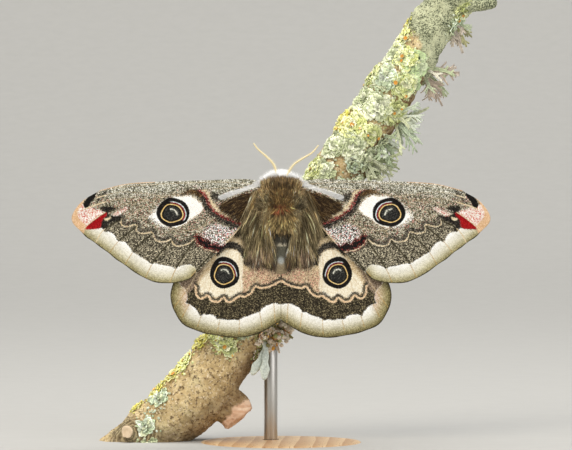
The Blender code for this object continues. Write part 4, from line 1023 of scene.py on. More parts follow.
# Areas of colour. The first few are wide fields of mixed scales, and the rest lie on them.
FORE_AREAS = {
    "costa": [
        (0.0, 7.5), (20.0, 7.5), (36.0, 7.0), (34.0, 3.0), (28.0, 3.2), (22.0, 3.5), (18.0, 4.7),
        (14.0, 4.2), (11.5, 3.4), (8.0, 4.4), (5.0, 5.0), (0.0, 5.3),
    ],
    "bright": [
        (14.5, -3.3), (12.8, -2.3), (10.3, -2.8), (7.6, -2.9), (7.6, -4.0), (9.4, -5.4),
        (11.6, -7.0), (13.4, -6.2), (14.8, -4.9),
    ],
    "field": [
        (30.4, -1.3), (30.5, -1.9), (30.3, -2.5), (29.7, -2.8), (28.8, -2.75), (27.9, -2.45),
        (27.35, -2.6), (27.5, -3.2), (27.3, -3.8), (26.7, -4.05), (25.7, -4.1), (24.7, -3.85),
        (24.3, -4.2), (24.1, -4.9), (23.7, -5.4), (22.8, -5.7), (21.7, -5.6), (20.95, -5.2),
        (20.7, -5.7), (20.3, -6.25), (19.7, -6.5), (18.6, -6.4), (17.4, -5.95), (16.4, -5.2),
        (16.1, -5.5), (15.4, -6.4), (14.3, -7.1), (13.0, -7.4), (12.0, -7.6), (11.0, -7.2),
        (9.5, -7.6), (14.0, -13.0), (20.0, -16.0), (30.0, -13.0), (40.0, -4.0), (36.5, -3.0),
        (34.0, -3.2), (32.5, -2.0), (31.2, -1.3),
    ],
    "basal": [
        (11.5, 1.4), (9.7, 2.4), (7.9, 3.2), (5.9, 3.8), (2.5, 4.3), (0.0, 4.3), (0.0, -1.5),
        (4.5, -1.2), (7.4, -1.7), (9.1, -0.6), (10.4, 0.2),
    ],
    "ante": [
        (16.2, 5.0), (15.7, 4.3), (14.6, 3.4), (14.0, 2.5), (13.6, 1.4), (12.8, 0.4), (12.0, -0.3),
        (11.0, -0.9), (9.9, -1.4), (8.8, -1.9), (7.2, -2.5), (5.0, -3.2), (-2.0, -3.0), (-2.0, 8.0),
        (15.0, 8.0),
    ],
    "knot": [(13.6, 3.5), (12.2, 3.5), (11.2, 2.7), (12.0, 2.0), (13.1, 2.3)],
    "arch": [(18.9, 3.2), (17.6, 4.2), (16.2, 4.2), (14.9, 3.0), (16.0, 3.0), (17.4, 3.4)],
    "streak": [
        (11.6, 2.5), (10.6, 2.5), (8.9, 3.2), (7.1, 3.85), (5.4, 4.4), (4.2, 4.8), (3.0, 4.9),
        (3.0, 6.0), (4.4, 5.8), (5.4, 5.15), (7.1, 4.6), (8.9, 4.1), (10.6, 3.5), (11.8, 2.9),
    ],
    "patch": [
        (18.6, 2.9), (17.6, 3.05), (16.7, 2.8), (15.7, 2.1), (15.0, 1.1), (14.9, 0.3), (15.6, -0.4),
        (16.7, -1.1), (17.6, -1.7), (18.3, -2.3), (20.0, -2.95), (21.2, -2.95), (22.4, -3.0),
        (23.6, -2.4), (24.7, -1.6), (25.2, -0.8), (24.5, 0.1), (23.8, 0.8), (22.9, 1.6),
        (21.5, 2.5), (20.0, 2.95),
    ],
    "low": [
        (16.0, -4.7), (15.3, -4.7), (14.9, -5.3), (14.1, -5.4), (13.4, -6.2), (12.5, -6.1),
        (11.6, -6.5), (10.6, -6.7), (11.6, -7.3), (12.8, -7.1), (13.2, -6.9), (14.3, -6.9),
        (14.7, -6.2), (15.6, -6.0),
    ],
    "flush": [
        (38.0, 1.6), (37.0, 0.75), (36.2, 0.9), (35.3, 0.5), (34.3, 0.25), (33.4, 0.0),
        (34.7, -1.0), (36.0, -2.0), (37.3, -3.0), (38.4, -3.2), (39.3, -0.8), (38.8, 0.8),
    ],
    "peach": [
        (33.3, 4.5), (35.2, 3.85), (36.4, 3.1), (37.4, 2.3), (37.9, 1.4), (38.5, 0.5), (38.75, -0.3),
        (38.4, -1.4), (37.6, -2.1), (37.2, -3.0), (38.2, -4.6), (41.0, -3.0), (41.5, 0.0),
        (38.5, 4.0), (34.0, 5.5),
    ],
    "bar": [
        (35.3, 3.8), (35.5, 2.8), (36.2, 2.0), (36.8, 0.9), (37.15, 0.75), (37.45, 1.3),
        (37.3, 1.9), (36.6, 2.8), (36.0, 3.4),
    ],
    "smudge": [
        (33.0, 4.4), (33.7, 3.9), (34.4, 3.1), (35.1, 1.9), (34.9, 1.7), (34.1, 2.6), (33.2, 3.7),
    ],
    "blot": [
        (34.3, 0.85), (33.3, 1.0), (32.2, 0.95), (31.6, 0.6), (32.3, 0.3), (32.9, -0.2),
        (32.4, -0.75), (31.0, -0.8), (30.3, -1.0), (30.8, -1.5), (32.0, -1.9), (32.9, -2.4),
        (33.3, -3.2), (33.9, -3.3), (34.5, -2.6), (34.3, -1.6), (33.7, -1.2), (33.4, -0.4),
        (33.9, 0.3),
    ],
    "crimson": [
        (37.4, -3.15), (36.0, -2.05), (34.7, -1.1), (33.4, -0.2), (33.3, -0.65), (33.8, -1.2),
        (34.2, -1.7), (34.3, -2.5), (34.6, -3.05), (35.7, -3.2), (36.7, -3.2),
    ],
    "spot": [(33.7, -1.3), (33.0, -1.1), (32.4, -1.0), (32.5, -1.4), (33.2, -1.7)],
    "gleam": [
        (32.2, -0.35), (31.6, -0.15), (30.6, 0.35), (29.2, 0.9), (29.4, 0.3), (30.5, -0.4),
        (31.2, -0.75), (31.9, -0.7),
    ],
    "border": [
        (37.3, -3.2), (35.8, -3.15), (34.6, -3.05), (33.95, -3.2), (33.6, -3.8), (32.7, -3.8),
        (31.7, -4.4), (31.0, -5.6), (30.3, -5.6), (29.5, -5.9), (28.9, -6.6), (28.2, -7.7),
        (27.7, -7.9), (26.8, -8.5), (25.8, -9.1), (25.0, -9.6), (24.5, -9.95), (23.8, -9.8),
        (22.7, -10.1), (21.6, -10.3), (20.7, -10.5), (19.9, -10.8), (19.3, -10.4), (18.3, -10.1),
        (17.2, -10.1), (16.5, -10.5), (16.15, -11.2), (16.3, -11.9), (17.2, -13.5), (20.0, -15.0),
        (26.0, -15.0), (31.0, -11.5), (40.0, -5.0), (40.0, -3.5), (38.3, -4.1),
    ],
}
HIND_AREAS = {
    "pink": [(7.4, -8.5), (1.0, -9.0), (0.0, -14.0), (4.8, -13.9), (7.4, -15.6), (8.2, -13.0)],
    "basal": [
        (1.0, 2.5), (5.0, 1.2), (9.5, -1.5), (15.0, -6.2), (14.0, -9.0), (12.0, -7.3), (9.7, -5.9),
        (7.3, -6.9), (6.2, -9.0), (5.0, -11.0), (3.0, -10.6), (0.5, -11.5), (0.0, -4.0),
    ],
    # Partly the hindwing's own dark scales and partly painted shade, under the ends of the long hair by
    # the abdomen's tip.
    "gloom": [
        (6.8, -8.4), (4.5, -8.9), (1.2, -9.4), (0.6, -10.8), (2.2, -10.9), (3.4, -10.4), (5.0, -10.8),
        (6.6, -10.2),
    ],
    "corner": [
        (14.8, -7.5), (21.0, -11.0), (20.0, -13.5), (18.6, -14.6), (17.9, -15.8), (17.8, -17.0),
        (17.0, -16.2), (16.3, -14.8), (15.9, -13.2), (15.0, -11.2), (14.0, -9.4),
    ],
    "patch": [
        (13.0, -10.8), (12.4, -9.1), (11.5, -8.0), (10.4, -7.3), (9.4, -7.1), (8.3, -7.4),
        (7.4, -8.2), (7.1, -9.1), (7.2, -10.3), (7.4, -12.5), (7.3, -14.9), (8.4, -16.2),
        (10.2, -16.2), (10.8, -15.6), (12.0, -16.3), (13.5, -16.0), (14.5, -15.6), (15.5, -15.2),
        (15.7, -14.3), (15.1, -12.9), (14.0, -11.7),
    ],
    "arc": [
        (12.5, -7.5), (11.0, -6.1), (9.6, -5.6), (8.1, -6.0), (6.9, -7.2), (6.2, -8.6), (5.9, -10.0),
        (7.0, -10.2), (7.2, -8.9), (7.9, -7.7), (9.0, -7.1), (10.6, -7.2), (12.0, -8.4),
    ],
    "band": [
        (16.5, -14.1), (16.3, -14.5), (16.2, -15.7), (15.4, -16.55), (14.6, -16.35), (13.95, -16.0),
        (13.4, -16.8), (12.7, -17.15), (11.8, -17.1), (10.85, -16.4), (10.3, -17.15), (9.4, -17.1),
        (7.9, -16.1), (6.9, -16.2), (5.7, -15.5), (4.8, -14.3), (3.9, -14.55), (2.5, -14.35),
        (1.2, -13.9), (0.0, -13.2), (-1.5, -13.2), (-1.5, -25.0), (12.0, -27.0), (23.0, -22.0),
        (23.0, -15.6), (18.2, -15.4), (17.2, -14.9),
    ],
    "border": [
        (19.6, -13.4), (19.2, -14.0), (18.4, -14.7), (17.85, -15.8), (17.9, -16.7), (18.2, -17.4),
        (17.4, -17.6), (16.5, -18.2), (15.8, -19.0), (15.4, -19.75), (14.5, -19.5), (13.3, -19.6),
        (12.5, -19.9), (12.1, -20.4), (10.9, -20.45), (10.0, -20.6), (8.9, -20.5), (8.1, -20.6),
        (7.2, -20.1), (5.9, -19.7), (4.8, -19.2), (4.1, -19.1), (3.5, -18.3), (2.4, -17.7),
        (1.3, -17.4), (0.3, -17.6), (-0.5, -18.4), (-2.0, -25.0), (12.0, -27.0), (23.0, -22.0),
        (23.5, -12.0),
    ],
}
FORE_EYES = {"eye": (20.5, -0.1, 3.15, 2.73), "iris": (20.7, -0.3, 2.05, 1.7)}
HIND_EYES = {"eye": (10.7, -11.6, 2.82, 3.03), "iris": (10.8, -11.9, 1.86, 1.88)}

# Mixed scales, as the share of each colour
GREY_SCALES = [
    (0.2, "26231A"), (0.22, "5B5545"), (0.23, "8C846D"), (0.16, "B5AD94"), (0.06, "BE827A"),
    (0.13, "E0DAC8"),
]
COSTA_SCALES = [
    (0.16, "2A2820"), (0.2, "64604F"), (0.26, "979480"), (0.2, "C8C6B4"), (0.18, "F3F2E8"),
]
BRIGHT_SCALES = [
    (0.3, "171410"), (0.14, "6A6456"), (0.23, "CBC7B8"), (0.23, "FFFFFF"), (0.1, "D98280"),
]
FIELD_SCALES = [
    (0.26, "201C16"), (0.25, "4C4639"), (0.23, "7B7462"), (0.15, "ABA38C"), (0.11, "DDD3B6"),
]
BROWN_SCALES = [(0.3, "2A1C0F"), (0.35, "453018"), (0.25, "644A2A"), (0.1, "8A6C42")]
BLACK_SCALES = [(0.6, "0B0908"), (0.3, "151211"), (0.1, "2C2622")]
SOOT_SCALES = [(0.35, "191613"), (0.4, "37332D"), (0.25, "5E584E")]
GLOOM_SCALES = [(0.4, "23211C"), (0.4, "3C3931"), (0.2, "59554A")]
CREAM_SCALES = [(0.3, "D2BB92"), (0.4, "E6D3AE"), (0.3, "F1E4C6")]
SAND_SCALES = [(0.3, "C1A67E"), (0.45, "D8C199"), (0.25, "EADABA")]
WHITE_SCALES = [(0.2, "EDEBE2"), (0.5, "FBFAF5"), (0.3, "FFFFFF")]
RED_SCALES = [(0.35, "5E1013"), (0.4, "981A1F"), (0.25, "B94548")]
CRIMSON_SCALES = [(0.35, "82060B"), (0.45, "A30A11"), (0.2, "B81E20")]
FLUSH_SCALES = [(0.12, "CB5850"), (0.23, "DCA391"), (0.3, "E6D2C4"), (0.35, "F8F3EE")]
PEACH_SCALES = [(0.3, "CFA47A"), (0.4, "DDB68E"), (0.3, "E8C8A4")]
STRAW_SCALES = [(0.3, "A59A68"), (0.4, "BBB07C"), (0.3, "D2C896")]
OLIVE_SCALES = [(0.35, "625A38"), (0.35, "7F764C"), (0.3, "9C9364")]
UMBER_SCALES = [(0.5, "4E452C"), (0.5, "6F6543")]
RIM_SCALES = [(0.5, "2A2618"), (0.5, "443E2A")]
OCHRE_SCALES = [(0.5, "A98546"), (0.5, "C2A163")]
DUSK_SCALES = [(0.45, "14110F"), (0.33, "2D2924"), (0.22, "564F45")]
YELLOW_SCALES = [(0.5, "E3BC72"), (0.5, "F3D89C")]
PUPIL_SCALES = [(0.5, "1A1A19"), (0.3, "2B2B29"), (0.2, "4A4945")]
ICE_SCALES = [(0.4, "C9D6DA"), (0.6, "EDF3F4")]
GLINT_SCALES = [(0.3, "A7A89A"), (0.7, "E9E7DA")]
BLUSH_SCALES = [(0.22, "826C54"), (0.26, "BEA082"), (0.2, "CF9C88"), (0.32, "DECAA6")]
HAIRY_SCALES = [(0.4, "211F17"), (0.3, "423D2D"), (0.18, "6A6148"), (0.12, "9A8D6C")]
TAUPE_SCALES = [(0.25, "5C4E3F"), (0.4, "7F6D5B"), (0.35, "A8937E")]
BAND_SCALES = [(0.36, "1F1B13"), (0.34, "3B3427"), (0.2, "625943"), (0.1, "948868")]
SHELL_SCALES = [(0.3, "C3A18C"), (0.4, "D7BAA8"), (0.3, "E8D6CC")]

# What is laid over the ground, each as (field, from, to, scales, softness, raggedness, cover,
# only inside this field). Fields are distances in mm, and None is no limit.
FORE_MARKS = [
    ("costa", 0, None, COSTA_SCALES, 0.7, 1.0, 1.0, None),
    ("bright", 0, None, BRIGHT_SCALES, 0.3, 0.5, 1.0, None),
    ("field", 0, None, FIELD_SCALES, 0.05, 0.2, 1.0, None),
    ("field", -0.85, -0.12, SOOT_SCALES, 0.18, 0.3, 0.8, "waved"),
    ("field", 0.12, 0.45, SOOT_SCALES, 0.12, 0.25, 0.6, "waved"),
    ("field", -0.1, 0.1, CREAM_SCALES, 0.05, 0.22, 0.95, "waved"),
    ("vein", -1, 0.15, RIM_SCALES, 0.08, 0.1, 0.95, "field"),
    ("vein", -1, 0.08, SAND_SCALES, 0.06, 0.1, 0.35, "bare"),
    ("ante", -1.2, -0.1, DUSK_SCALES, 0.16, 0.9, 1.0, "crossed"),
    ("ante", -0.16, 0.16, RED_SCALES, 0.08, 0.6, 0.9, "crossed"),
    ("ante", 0.3, 0.85, CREAM_SCALES, 0.12, 0.5, 0.9, "crossed"),
    ("knot", 0, None, SOOT_SCALES, 0.15, 0.5, 0.9, None),
    ("arch", 0, None, BROWN_SCALES, 0.15, 0.4, 0.9, None),
    ("basal", 0, None, BROWN_SCALES, 0.15, 0.5, 1.0, None),
    ("streak", 0, None, WHITE_SCALES, 0.1, 0.3, 1.0, None),
    ("low", -0.3, None, RED_SCALES, 0.08, 0.7, 0.8, None),
    ("low", -0.1, None, BLACK_SCALES, 0.08, 0.8, 1.0, None),
    ("patch", -0.14, 0.1, SAND_SCALES, 0.08, 0.3, 0.6, "inward"),
    ("patch", 0, None, WHITE_SCALES, 0.06, 0.3, 1.0, "inward"),
    ("patch", 0.3, None, WHITE_SCALES, 0.2, 1.1, 1.0, None),
    ("flush", 0, None, FLUSH_SCALES, 0.12, 0.4, 1.0, None),
    ("smudge", 0, None, SOOT_SCALES, 0.2, 0.4, 0.9, None),
    ("blot", -0.1, None, BLACK_SCALES, 0.1, 0.45, 0.96, None),
    ("spot", 0, None, CREAM_SCALES, 0.08, 0.2, 0.95, None),
    ("gleam", 0, None, FLUSH_SCALES, 0.1, 0.4, 0.9, None),
    ("border", 0, None, WHITE_SCALES, 0.05, 0.2, 1.0, None),
    ("margin", -1, 1.8, STRAW_SCALES, 1.5, 0.25, 0.95, "border"),
    ("margin", -1, 0.7, OLIVE_SCALES, 0.8, 0.3, 0.95, "border"),
    ("crimson", -0.14, None, RED_SCALES, 0.08, 0.2, 1.0, None),
    ("crimson", 0, None, CRIMSON_SCALES, 0.06, 0.1, 1.0, None),
    ("peach", 0, None, PEACH_SCALES, 0.12, 0.12, 1.0, None),
    ("bar", -0.14, None, BLACK_SCALES, 0.06, 0.15, 1.0, None),
    ("vein", -1, 0.09, OCHRE_SCALES, 0.04, 0.04, 0.8, "tawny"),
    ("vein", -1, 0.1, CREAM_SCALES, 0.04, 0.04, 0.9, "tip"),
    ("hem", -1, 0.26, SAND_SCALES, 0.08, 0.2, 0.8, "hemmed"),
    ("hem", -1, 0.4, TAUPE_SCALES, 0.2, 0.4, 0.5, "border"),
    ("front", -1, 0.14, PEACH_SCALES, 0.06, 0.1, 0.7, None),
    ("margin", -1, 0.2, RIM_SCALES, 0.08, 0.05, 0.95, "border"),
]
HIND_MARKS = [
    ("pink", 0, None, BLUSH_SCALES, 0.4, 0.6, 1.0, None),
    ("basal", 0, None, HAIRY_SCALES, 0.4, 0.8, 1.0, None),
    ("corner", 0, None, TAUPE_SCALES, 0.3, 0.6, 1.0, None),
    ("vein", -1, 0.3, TAUPE_SCALES, 0.25, 0.5, 0.6, "pink"),
    ("arc", -0.9, None, SAND_SCALES, 0.3, 0.6, 0.9, None),
    # Painted shade over dark scales, under the ends of the long hair.
    ("gloom", 0, None, DUSK_SCALES, 0.3, 0.9, 0.85, None),
    ("vein", -1, 0.12, SAND_SCALES, 0.1, 0.1, 0.6, None),
    ("patch", 0, None, [(0.3, "E4D6B8"), (0.4, "EFE5CC"), (0.3, "F8F1DF")], 0.15, 0.25, 1.0, None),
    ("vein", -1, 0.08, SAND_SCALES, 0.08, 0.06, 0.7, "patch"),
    ("arc", 0, None, SOOT_SCALES, 0.12, 0.4, 1.0, None),
    ("band", 0.12, None, BAND_SCALES, 0.08, 0.2, 1.0, None),
    ("band", -0.8, -0.2, GLOOM_SCALES, 0.12, 0.4, 0.95, "scalloped"),
    ("band", -0.24, 0.06, [(0.4, "DDBA93"), (0.6, "EDD2AE")], 0.06, 0.25, 1.0, "scalloped"),
    ("vein", -1, 0.1, BLACK_SCALES, 0.06, 0.05, 0.6, "band"),
    ("border", 0, None, WHITE_SCALES, 0.05, 0.24, 1.0, None),
    ("lobe", 0, None, SHELL_SCALES, 0.7, 0.4, 1.0, "border"),
    ("margin", -1, 2.1, STRAW_SCALES, 1.5, 0.3, 0.95, "border"),
    ("margin", -1, 1.3, OLIVE_SCALES, 1.0, 0.35, 0.95, "border"),
    ("margin", -1, 0.5, UMBER_SCALES, 0.5, 0.35, 0.85, "border"),
    ("vein", -1, 0.09, OCHRE_SCALES, 0.04, 0.04, 0.75, "border"),
    ("margin", -1, 0.22, RIM_SCALES, 0.08, 0.05, 0.95, "border"),
]
EYE_MARKS = [
    ("eye", 0, None, BLACK_SCALES, 0.05, 0.1, 1.0, None),
    ("iris", -0.56, -0.42, ICE_SCALES, 0.04, 0.08, 1.0, "lit"),
    ("iris", -0.37, -0.2, RED_SCALES, 0.05, 0.08, 1.0, "lit"),
    ("iris", -0.08, 0.09, YELLOW_SCALES, 0.04, 0.06, 1.0, None),
    ("iris", 0.36, None, PUPIL_SCALES, 0.08, 0.3, 1.0, None),
    ("iris", 0.7, 1.3, [(0.5, "33342F"), (0.5, "62645C")], 0.15, 0.5, 0.8, "glint"),
    ("iris", 0.84, 1.06, GLINT_SCALES, 0.06, 0.16, 0.95, "glint"),
]


def from_line(points, out, up):
    """Distance from each spot to the line through the points."""
    near = np.full(out.shape, 1e9)
    for (ax, ay), (bx, by) in zip(points, points[1:]):
        dx, dy = bx - ax, by - ay
        t = np.clip(((out - ax) * dx + (up - ay) * dy) / (dx * dx + dy * dy + 1e-12), 0, 1)
        near = np.minimum(near, np.hypot(out - ax - t * dx, up - ay - t * dy))
    return near


def within(loop, out, up):
    """How deep each spot lies inside a closed loop, and less than nothing outside it."""
    inside = np.zeros(out.shape, bool)
    for (ax, ay), (bx, by) in zip(loop, np.roll(loop, -1, 0)):
        crosses = (ay > up) != (by > up)
        inside ^= crosses & (out < (bx - ax) * (up - ay) / ((by - ay) or 1e-12) + ax)
    near = from_line(np.vstack([loop, loop[:1]]), out, up)
    return np.where(inside, near, -near)


def wing_depth(out, up, set_back):
    """Depth of the sheet in which a wing lies."""
    sweep = WING_SWEEP_BACK * (out / WING_SPAN_HALF) ** 2
    drop = np.maximum(0.0, 6.5 - up) / WING_CHORD
    return WING_ROOT_Y + set_back + sweep + WING_CAMBER * drop**1.5


def wing_fields(fore, out, up):
    """Every field of a wing's markings at these spots, by name."""
    areas, eyes = (FORE_AREAS, FORE_EYES) if fore else (HIND_AREAS, HIND_EYES)
    fields = {name: within(rounded(loop, 4, True), out, up) for name, loop in areas.items()}
    for name, (x, z, wide, high) in eyes.items():
        reach = np.hypot((out - x) / wide, (up - z) / high)
        turn = np.arctan2(up - z, x - out)  # 0 towards the body, 90 degrees up
        wobble = 0.06 * np.cos(3 * turn + 1) + 0.04 * np.cos(5 * turn + wide)
        fields[name] = (1 - reach) * min(wide, high) + wobble
    veins = FORE_VEINS if fore else HIND_VEINS
    fields["vein"] = np.min([from_line(rounded(v, 6), out, up) for v in veins], axis=0)
    margin = rounded(FORE_OUTER if fore else HIND_OUTER)
    fields["margin"] = from_line(margin, out, up)
    if fore:
        fields["lit"] = 1.12 - abs(turn - math.radians(33))
        fields["glint"] = 1.2 - abs(turn - math.radians(48))
        fields["tip"] = np.minimum(out - 33.2, 2.2 - abs(out - 35.6))
        fields["bare"] = -fields["field"] - 0.9
        fields["inward"] = 20.5 - out
        fields["hemmed"] = up + 6.0
        fields["crossed"] = 4.2 - up
        wave = from_line(rounded(FORE_AREAS["field"][:30], 4), out, up)
        fields["waved"] = 0.25 - (wave - abs(fields["field"]))
        fields["tawny"] = np.maximum(fields["border"], fields["peach"])
        fields["hem"] = from_line(rounded(FORE_HIND), out, up)
        fields["front"] = from_line(rounded(FORE_COSTA[4:]), out, up)
    else:
        fields["lit"] = 1.05 - abs(turn - math.radians(52))
        fields["glint"] = 1.1 - abs(turn - math.radians(70))
        fields["scalloped"] = 16.5 - out
        fields["lobe"] = out - 17.4 + (up + 17.6) * 0.5
    return fields


def wing_paint(name, ground, marks, paleness):
    """Scales of each marking's own mix of colours, laid over the ground in turn."""
    paint, tree, shader, place = blank(
        name, Roughness=0.75, IOR=1.5, Sheen_Weight=0.03, Sheen_Roughness=0.5
    )
    shader.inputs["Specular IOR Level"].default_value = 0.14
    cell = add(tree, "TexVoronoi", {"Vector": place, "Scale": 1 / (SCALE_SIZE * MM)})
    draw = add(tree, "SeparateColor", {0: cell.outputs["Color"]})
    pick = draw.outputs[0]
    jitter = add(tree, "Math", {0: draw.outputs[1], 1: 0.5}, operation="SUBTRACT")
    named = {mark[0] for mark in marks} | {mark[7] for mark in marks if mark[7]}
    field = {
        which: add(tree, "Attribute", attribute_name=which).outputs["Fac"] for which in sorted(named)
    }
    colour = None
    below = (None, None, None, ground, None, None, None, None)
    for which, low, high, scales, soft, ragged, cover, inside in (below, *marks):
        ramp = add(tree, "ValToRGB", {0: pick})
        ramp.color_ramp.interpolation = "CONSTANT"
        stops, start = ramp.color_ramp.elements, 0.0
        for i, (part, code) in enumerate(scales):
            stop = stops[i] if i < 2 else stops.new(start)
            stop.position, stop.color = start, linear(code)
            start += part
        if colour is None:
            colour = ramp
            continue
        value = add(tree, "Math", {0: jitter, 1: ragged, 2: field[which]}, operation="MULTIPLY_ADD")
        edges = [(value, low, soft, 0.0, 1.0)]
        edges += [(value, high, soft, 1.0, 0.0)] if high is not None else []
        edges += [(field[inside], 0.0, INSIDE_BLUR, 0.0, 1.0)] if inside else []
        share = cover
        for source, limit, blur, before, after in edges:
            span = {"From Min": limit - blur, "From Max": limit + blur}
            ends = {"To Min": before, "To Max": after}
            step = add(tree, "MapRange", {"Value": source, **span, **ends})
            share = add(tree, "Math", {0: share, 1: step}, operation="MULTIPLY")
        colour = add(tree, "Mix", {0: share, 6: colour, 7: ramp}, data_type="RGBA")
    wash = add(tree, "TexNoise", {"Vector": place, "Scale": 0.42 / MM, "Detail": 3.0})
    shade = add(tree, "MapRange", {"Value": wash, "To Min": 0.86, "To Max": 1.1})
    colour = add(
        tree, "Mix", {0: 1.0, 6: colour, 7: shade}, data_type="RGBA", blend_type="MULTIPLY"
    )
    if paleness:
        colour = add(
            tree, "Mix", {0: paleness, 6: colour, 7: linear("D9CFC6")}, data_type="RGBA"
        )
    tree.links.new(colour.outputs[2], shader.inputs["Base Color"])
    lie = add(tree, "Bump", {"Strength": 0.35, "Distance": 0.03 * MM, "Height": cell})
    tree.links.new(lie.outputs[0], shader.inputs["Normal"])
    return paint


def make_wing(name, fore, columns, rows):
    """A right wing: a grid laid between its edges, raised at the veins, then given thickness."""
    alone()
    bpy.ops.mesh.primitive_grid_add(x_subdivisions=columns, y_subdivisions=rows, size=2)
    wing = bpy.context.object
    wing.name = name
    mesh = wing.data
    spots = corners_of(mesh)
    s = ((spots[:, 0] + 1) / 2) ** ROOT_CROWDING
    t = (spots[:, 1] + 1) / 2
    edges = (FORE_ROOT, FORE_OUTER, FORE_COSTA, FORE_HIND) if fore else (
        HIND_ROOT, HIND_OUTER, HIND_COSTA, HIND_INNER
    )
    notches = [0, *(FORE_NOTCHES if fore else HIND_NOTCHES), 1]
    phase = np.interp(t, notches, range(len(notches)))
    s = s * (1 - SCALLOP * (1 + np.cos(2 * np.pi * phase)) * s**6)
    near, far = at_shares(edges[0], t), at_shares(edges[1], t)
    top, bottom = at_shares(edges[2], s), at_shares(edges[3], s)
    s, t = s[:, None], t[:, None]
    ends = [np.array(edge[i], float) for edge in edges[2:] for i in (0, -1)]
    flat = near * (1 - s) + far * s + top * (1 - t) + bottom * t
    flat -= (ends[0] * (1 - s) + ends[1] * s) * (1 - t) + (ends[2] * (1 - s) + ends[3] * s) * t
    out, up = flat[:, 0], flat[:, 1]
    fields = wing_fields(fore, out, up)
    waver = [noise.noise(Vector((x / 7, z / 7, 4.0 if fore else 9.0))) for x, z in zip(out, up)]
    pleat = np.exp(-((fields["vein"] / 0.9) ** 2)) * PLEAT
    depth = wing_depth(out, up, 0 if fore else HIND_SET_BACK)
    depth = depth + np.array(waver) * WAVER * np.clip(out / 12, 0, 1) - pleat
    spots = np.stack([out, depth, BODY_Z + up], axis=1) * MM
    mesh.vertices.foreach_set("co", spots.ravel())
    for field, values in fields.items():
        note(mesh, field, values)
    edit_all(FACES_OUT)
    mesh.update()
    if sum(face.normal.y for face in mesh.polygons) > 0:
        mesh.flip_normals()
    ridge = wing.vertex_groups.new(name="veins")
    for i, value in enumerate(np.exp(-((fields["vein"] / VEIN_REACH) ** 2))):
        ridge.add([i], 0.35 + 0.65 * float(value), "REPLACE")
    shell = {"thickness": WING_THICK, "offset": 0, "material_offset": 1}
    work(wing, "SOLIDIFY", **shell, vertex_group="veins")
    wing.data.shade_smooth()
    return wing


fore_paint = wing_paint("emperor forewing scales", GREY_SCALES, FORE_MARKS + EYE_MARKS, 0)
fore_under = wing_paint("emperor forewing underside", GREY_SCALES, FORE_MARKS + EYE_MARKS, 0.35)
hind_paint = wing_paint("emperor hindwing scales", SAND_SCALES, HIND_MARKS + EYE_MARKS, 0)
hind_under = wing_paint("emperor hindwing underside", SAND_SCALES, HIND_MARKS + EYE_MARKS, 0.35)
for kind, fore, columns, rows, paints in (
    ("forewing", True, 190, 160, [fore_paint, fore_under]),
    ("hindwing", False, 140, 130, [hind_paint, hind_under]),
):
    right = make_wing(kind + "_right_scaled", fore, columns, rows)
    left = placed(kind + "_left_scaled", right.data.copy())
    left.data.transform(Matrix.Scale(-1, 4, (1, 0, 0)))
    left.data.flip_normals()
    settle(right, paints, "wing_scales", kind + "_right")
    settle(left, paints, "wing_scales", kind + "_left")

# The feelers: cream threads of some forty short joints, each joint with a fine tooth on either
# side, as the female's are.
FEELER_LEFT = [(-0.75, 6.6), (-1.3, 8.8), (-2.7, 10.4), (-4.4, 11.9), (-5.2, 13.0)]
FEELER_RIGHT = [(0.95, 6.6), (2.3, 8.8), (4.1, 10.1), (5.9, 11.2), (7.1, 12.6)]
FEELER_Y = -8.9
FEELER_RADIUS = 0.2
FEELER_JOINTS = 38
BARE_JOINTS = 4
TOOTH_LENGTH = 0.5
TOOTH_RADII = (0.055, 0.04, 0.015)
# Feeler horn: thin, cream and waxy
cream, tree, shader, place = blank("cream feeler", Roughness=0.42, Coat_Weight=0.1, Coat_Roughness=0.4)
bands = add(tree, "TexNoise", {"Vector": place, "Scale": 2.4 / MM, "Detail": 3.0})
waxy = add(tree, "Mix", {0: bands, 6: linear("E6CE8A"), 7: linear("FBF0C8")}, data_type="RGBA")
tree.links.new(waxy.outputs[2], shader.inputs["Base Color"])
for word, points in (("left", FEELER_LEFT), ("right", FEELER_RIGHT)):
    shares = np.linspace(0, 1, FEELER_JOINTS * 3 + 1)
    flat = at_shares(points, shares)
    spots = np.stack([flat[:, 0], np.full(len(flat), FEELER_Y), BODY_Z + flat[:, 1]], axis=1)
    taper = FEELER_RADIUS * (1 - 0.5 * shares) * np.where(np.arange(len(shares)) % 3, 1.0, 0.8)
    lines = [np.column_stack([spots, taper])]
    for joint in range(BARE_JOINTS, FEELER_JOINTS):
        spot, along = spots[joint * 3 + 1], spots[joint * 3 + 2] - spots[joint * 3]
        along = along / np.linalg.norm(along)
        for side in (-1, 1):
            out = np.array((-along[2] * side, 0.5, along[0] * side))
            out /= np.linalg.norm(out)
            size = TOOTH_LENGTH * (1 - 0.6 * joint / FEELER_JOINTS)
            tip = spot + (out + along * 0.5) * size
            steps = (spot, (spot + tip) / 2, tip)
            lines.append([(*step, radius) for step, radius in zip(steps, TOOTH_RADII)])
    feeler = tube(f"antenna_{word}_jointed", lines, 3)
    settle(feeler, [cream], "feeler_cream", "antenna_" + word)

# The coat: tens of thousands of fine hairs rooted in the skin, short on the shoulders, fanned over
# the rear of the back, and streaming in locks over the roots of the wings. Each is wider than in
# life, as one of true width would vanish between the image's dots.
DRAPE_DROP = 8 * MM
HAIR_RINGS = 5
ATLAS_PATCH = 0.003
WING_CLEAR = 0.12
NOTHING = 9  # a depth, in mm, that lies behind every piece
LIGHT_LIFT = 0.3 * MM  # light hairs lie over dark ones
HAIR_MM = (0.08, 0.14)  # how wide hairs are
FORE_NEAR = np.array(
    [(0, 8), (20, 8), (16.2, -11.7), (12.4, -8.1), (9.7, -5.3), (5.5, -0.7), (2.8, 0.6), (0, 1)],
    float,
)
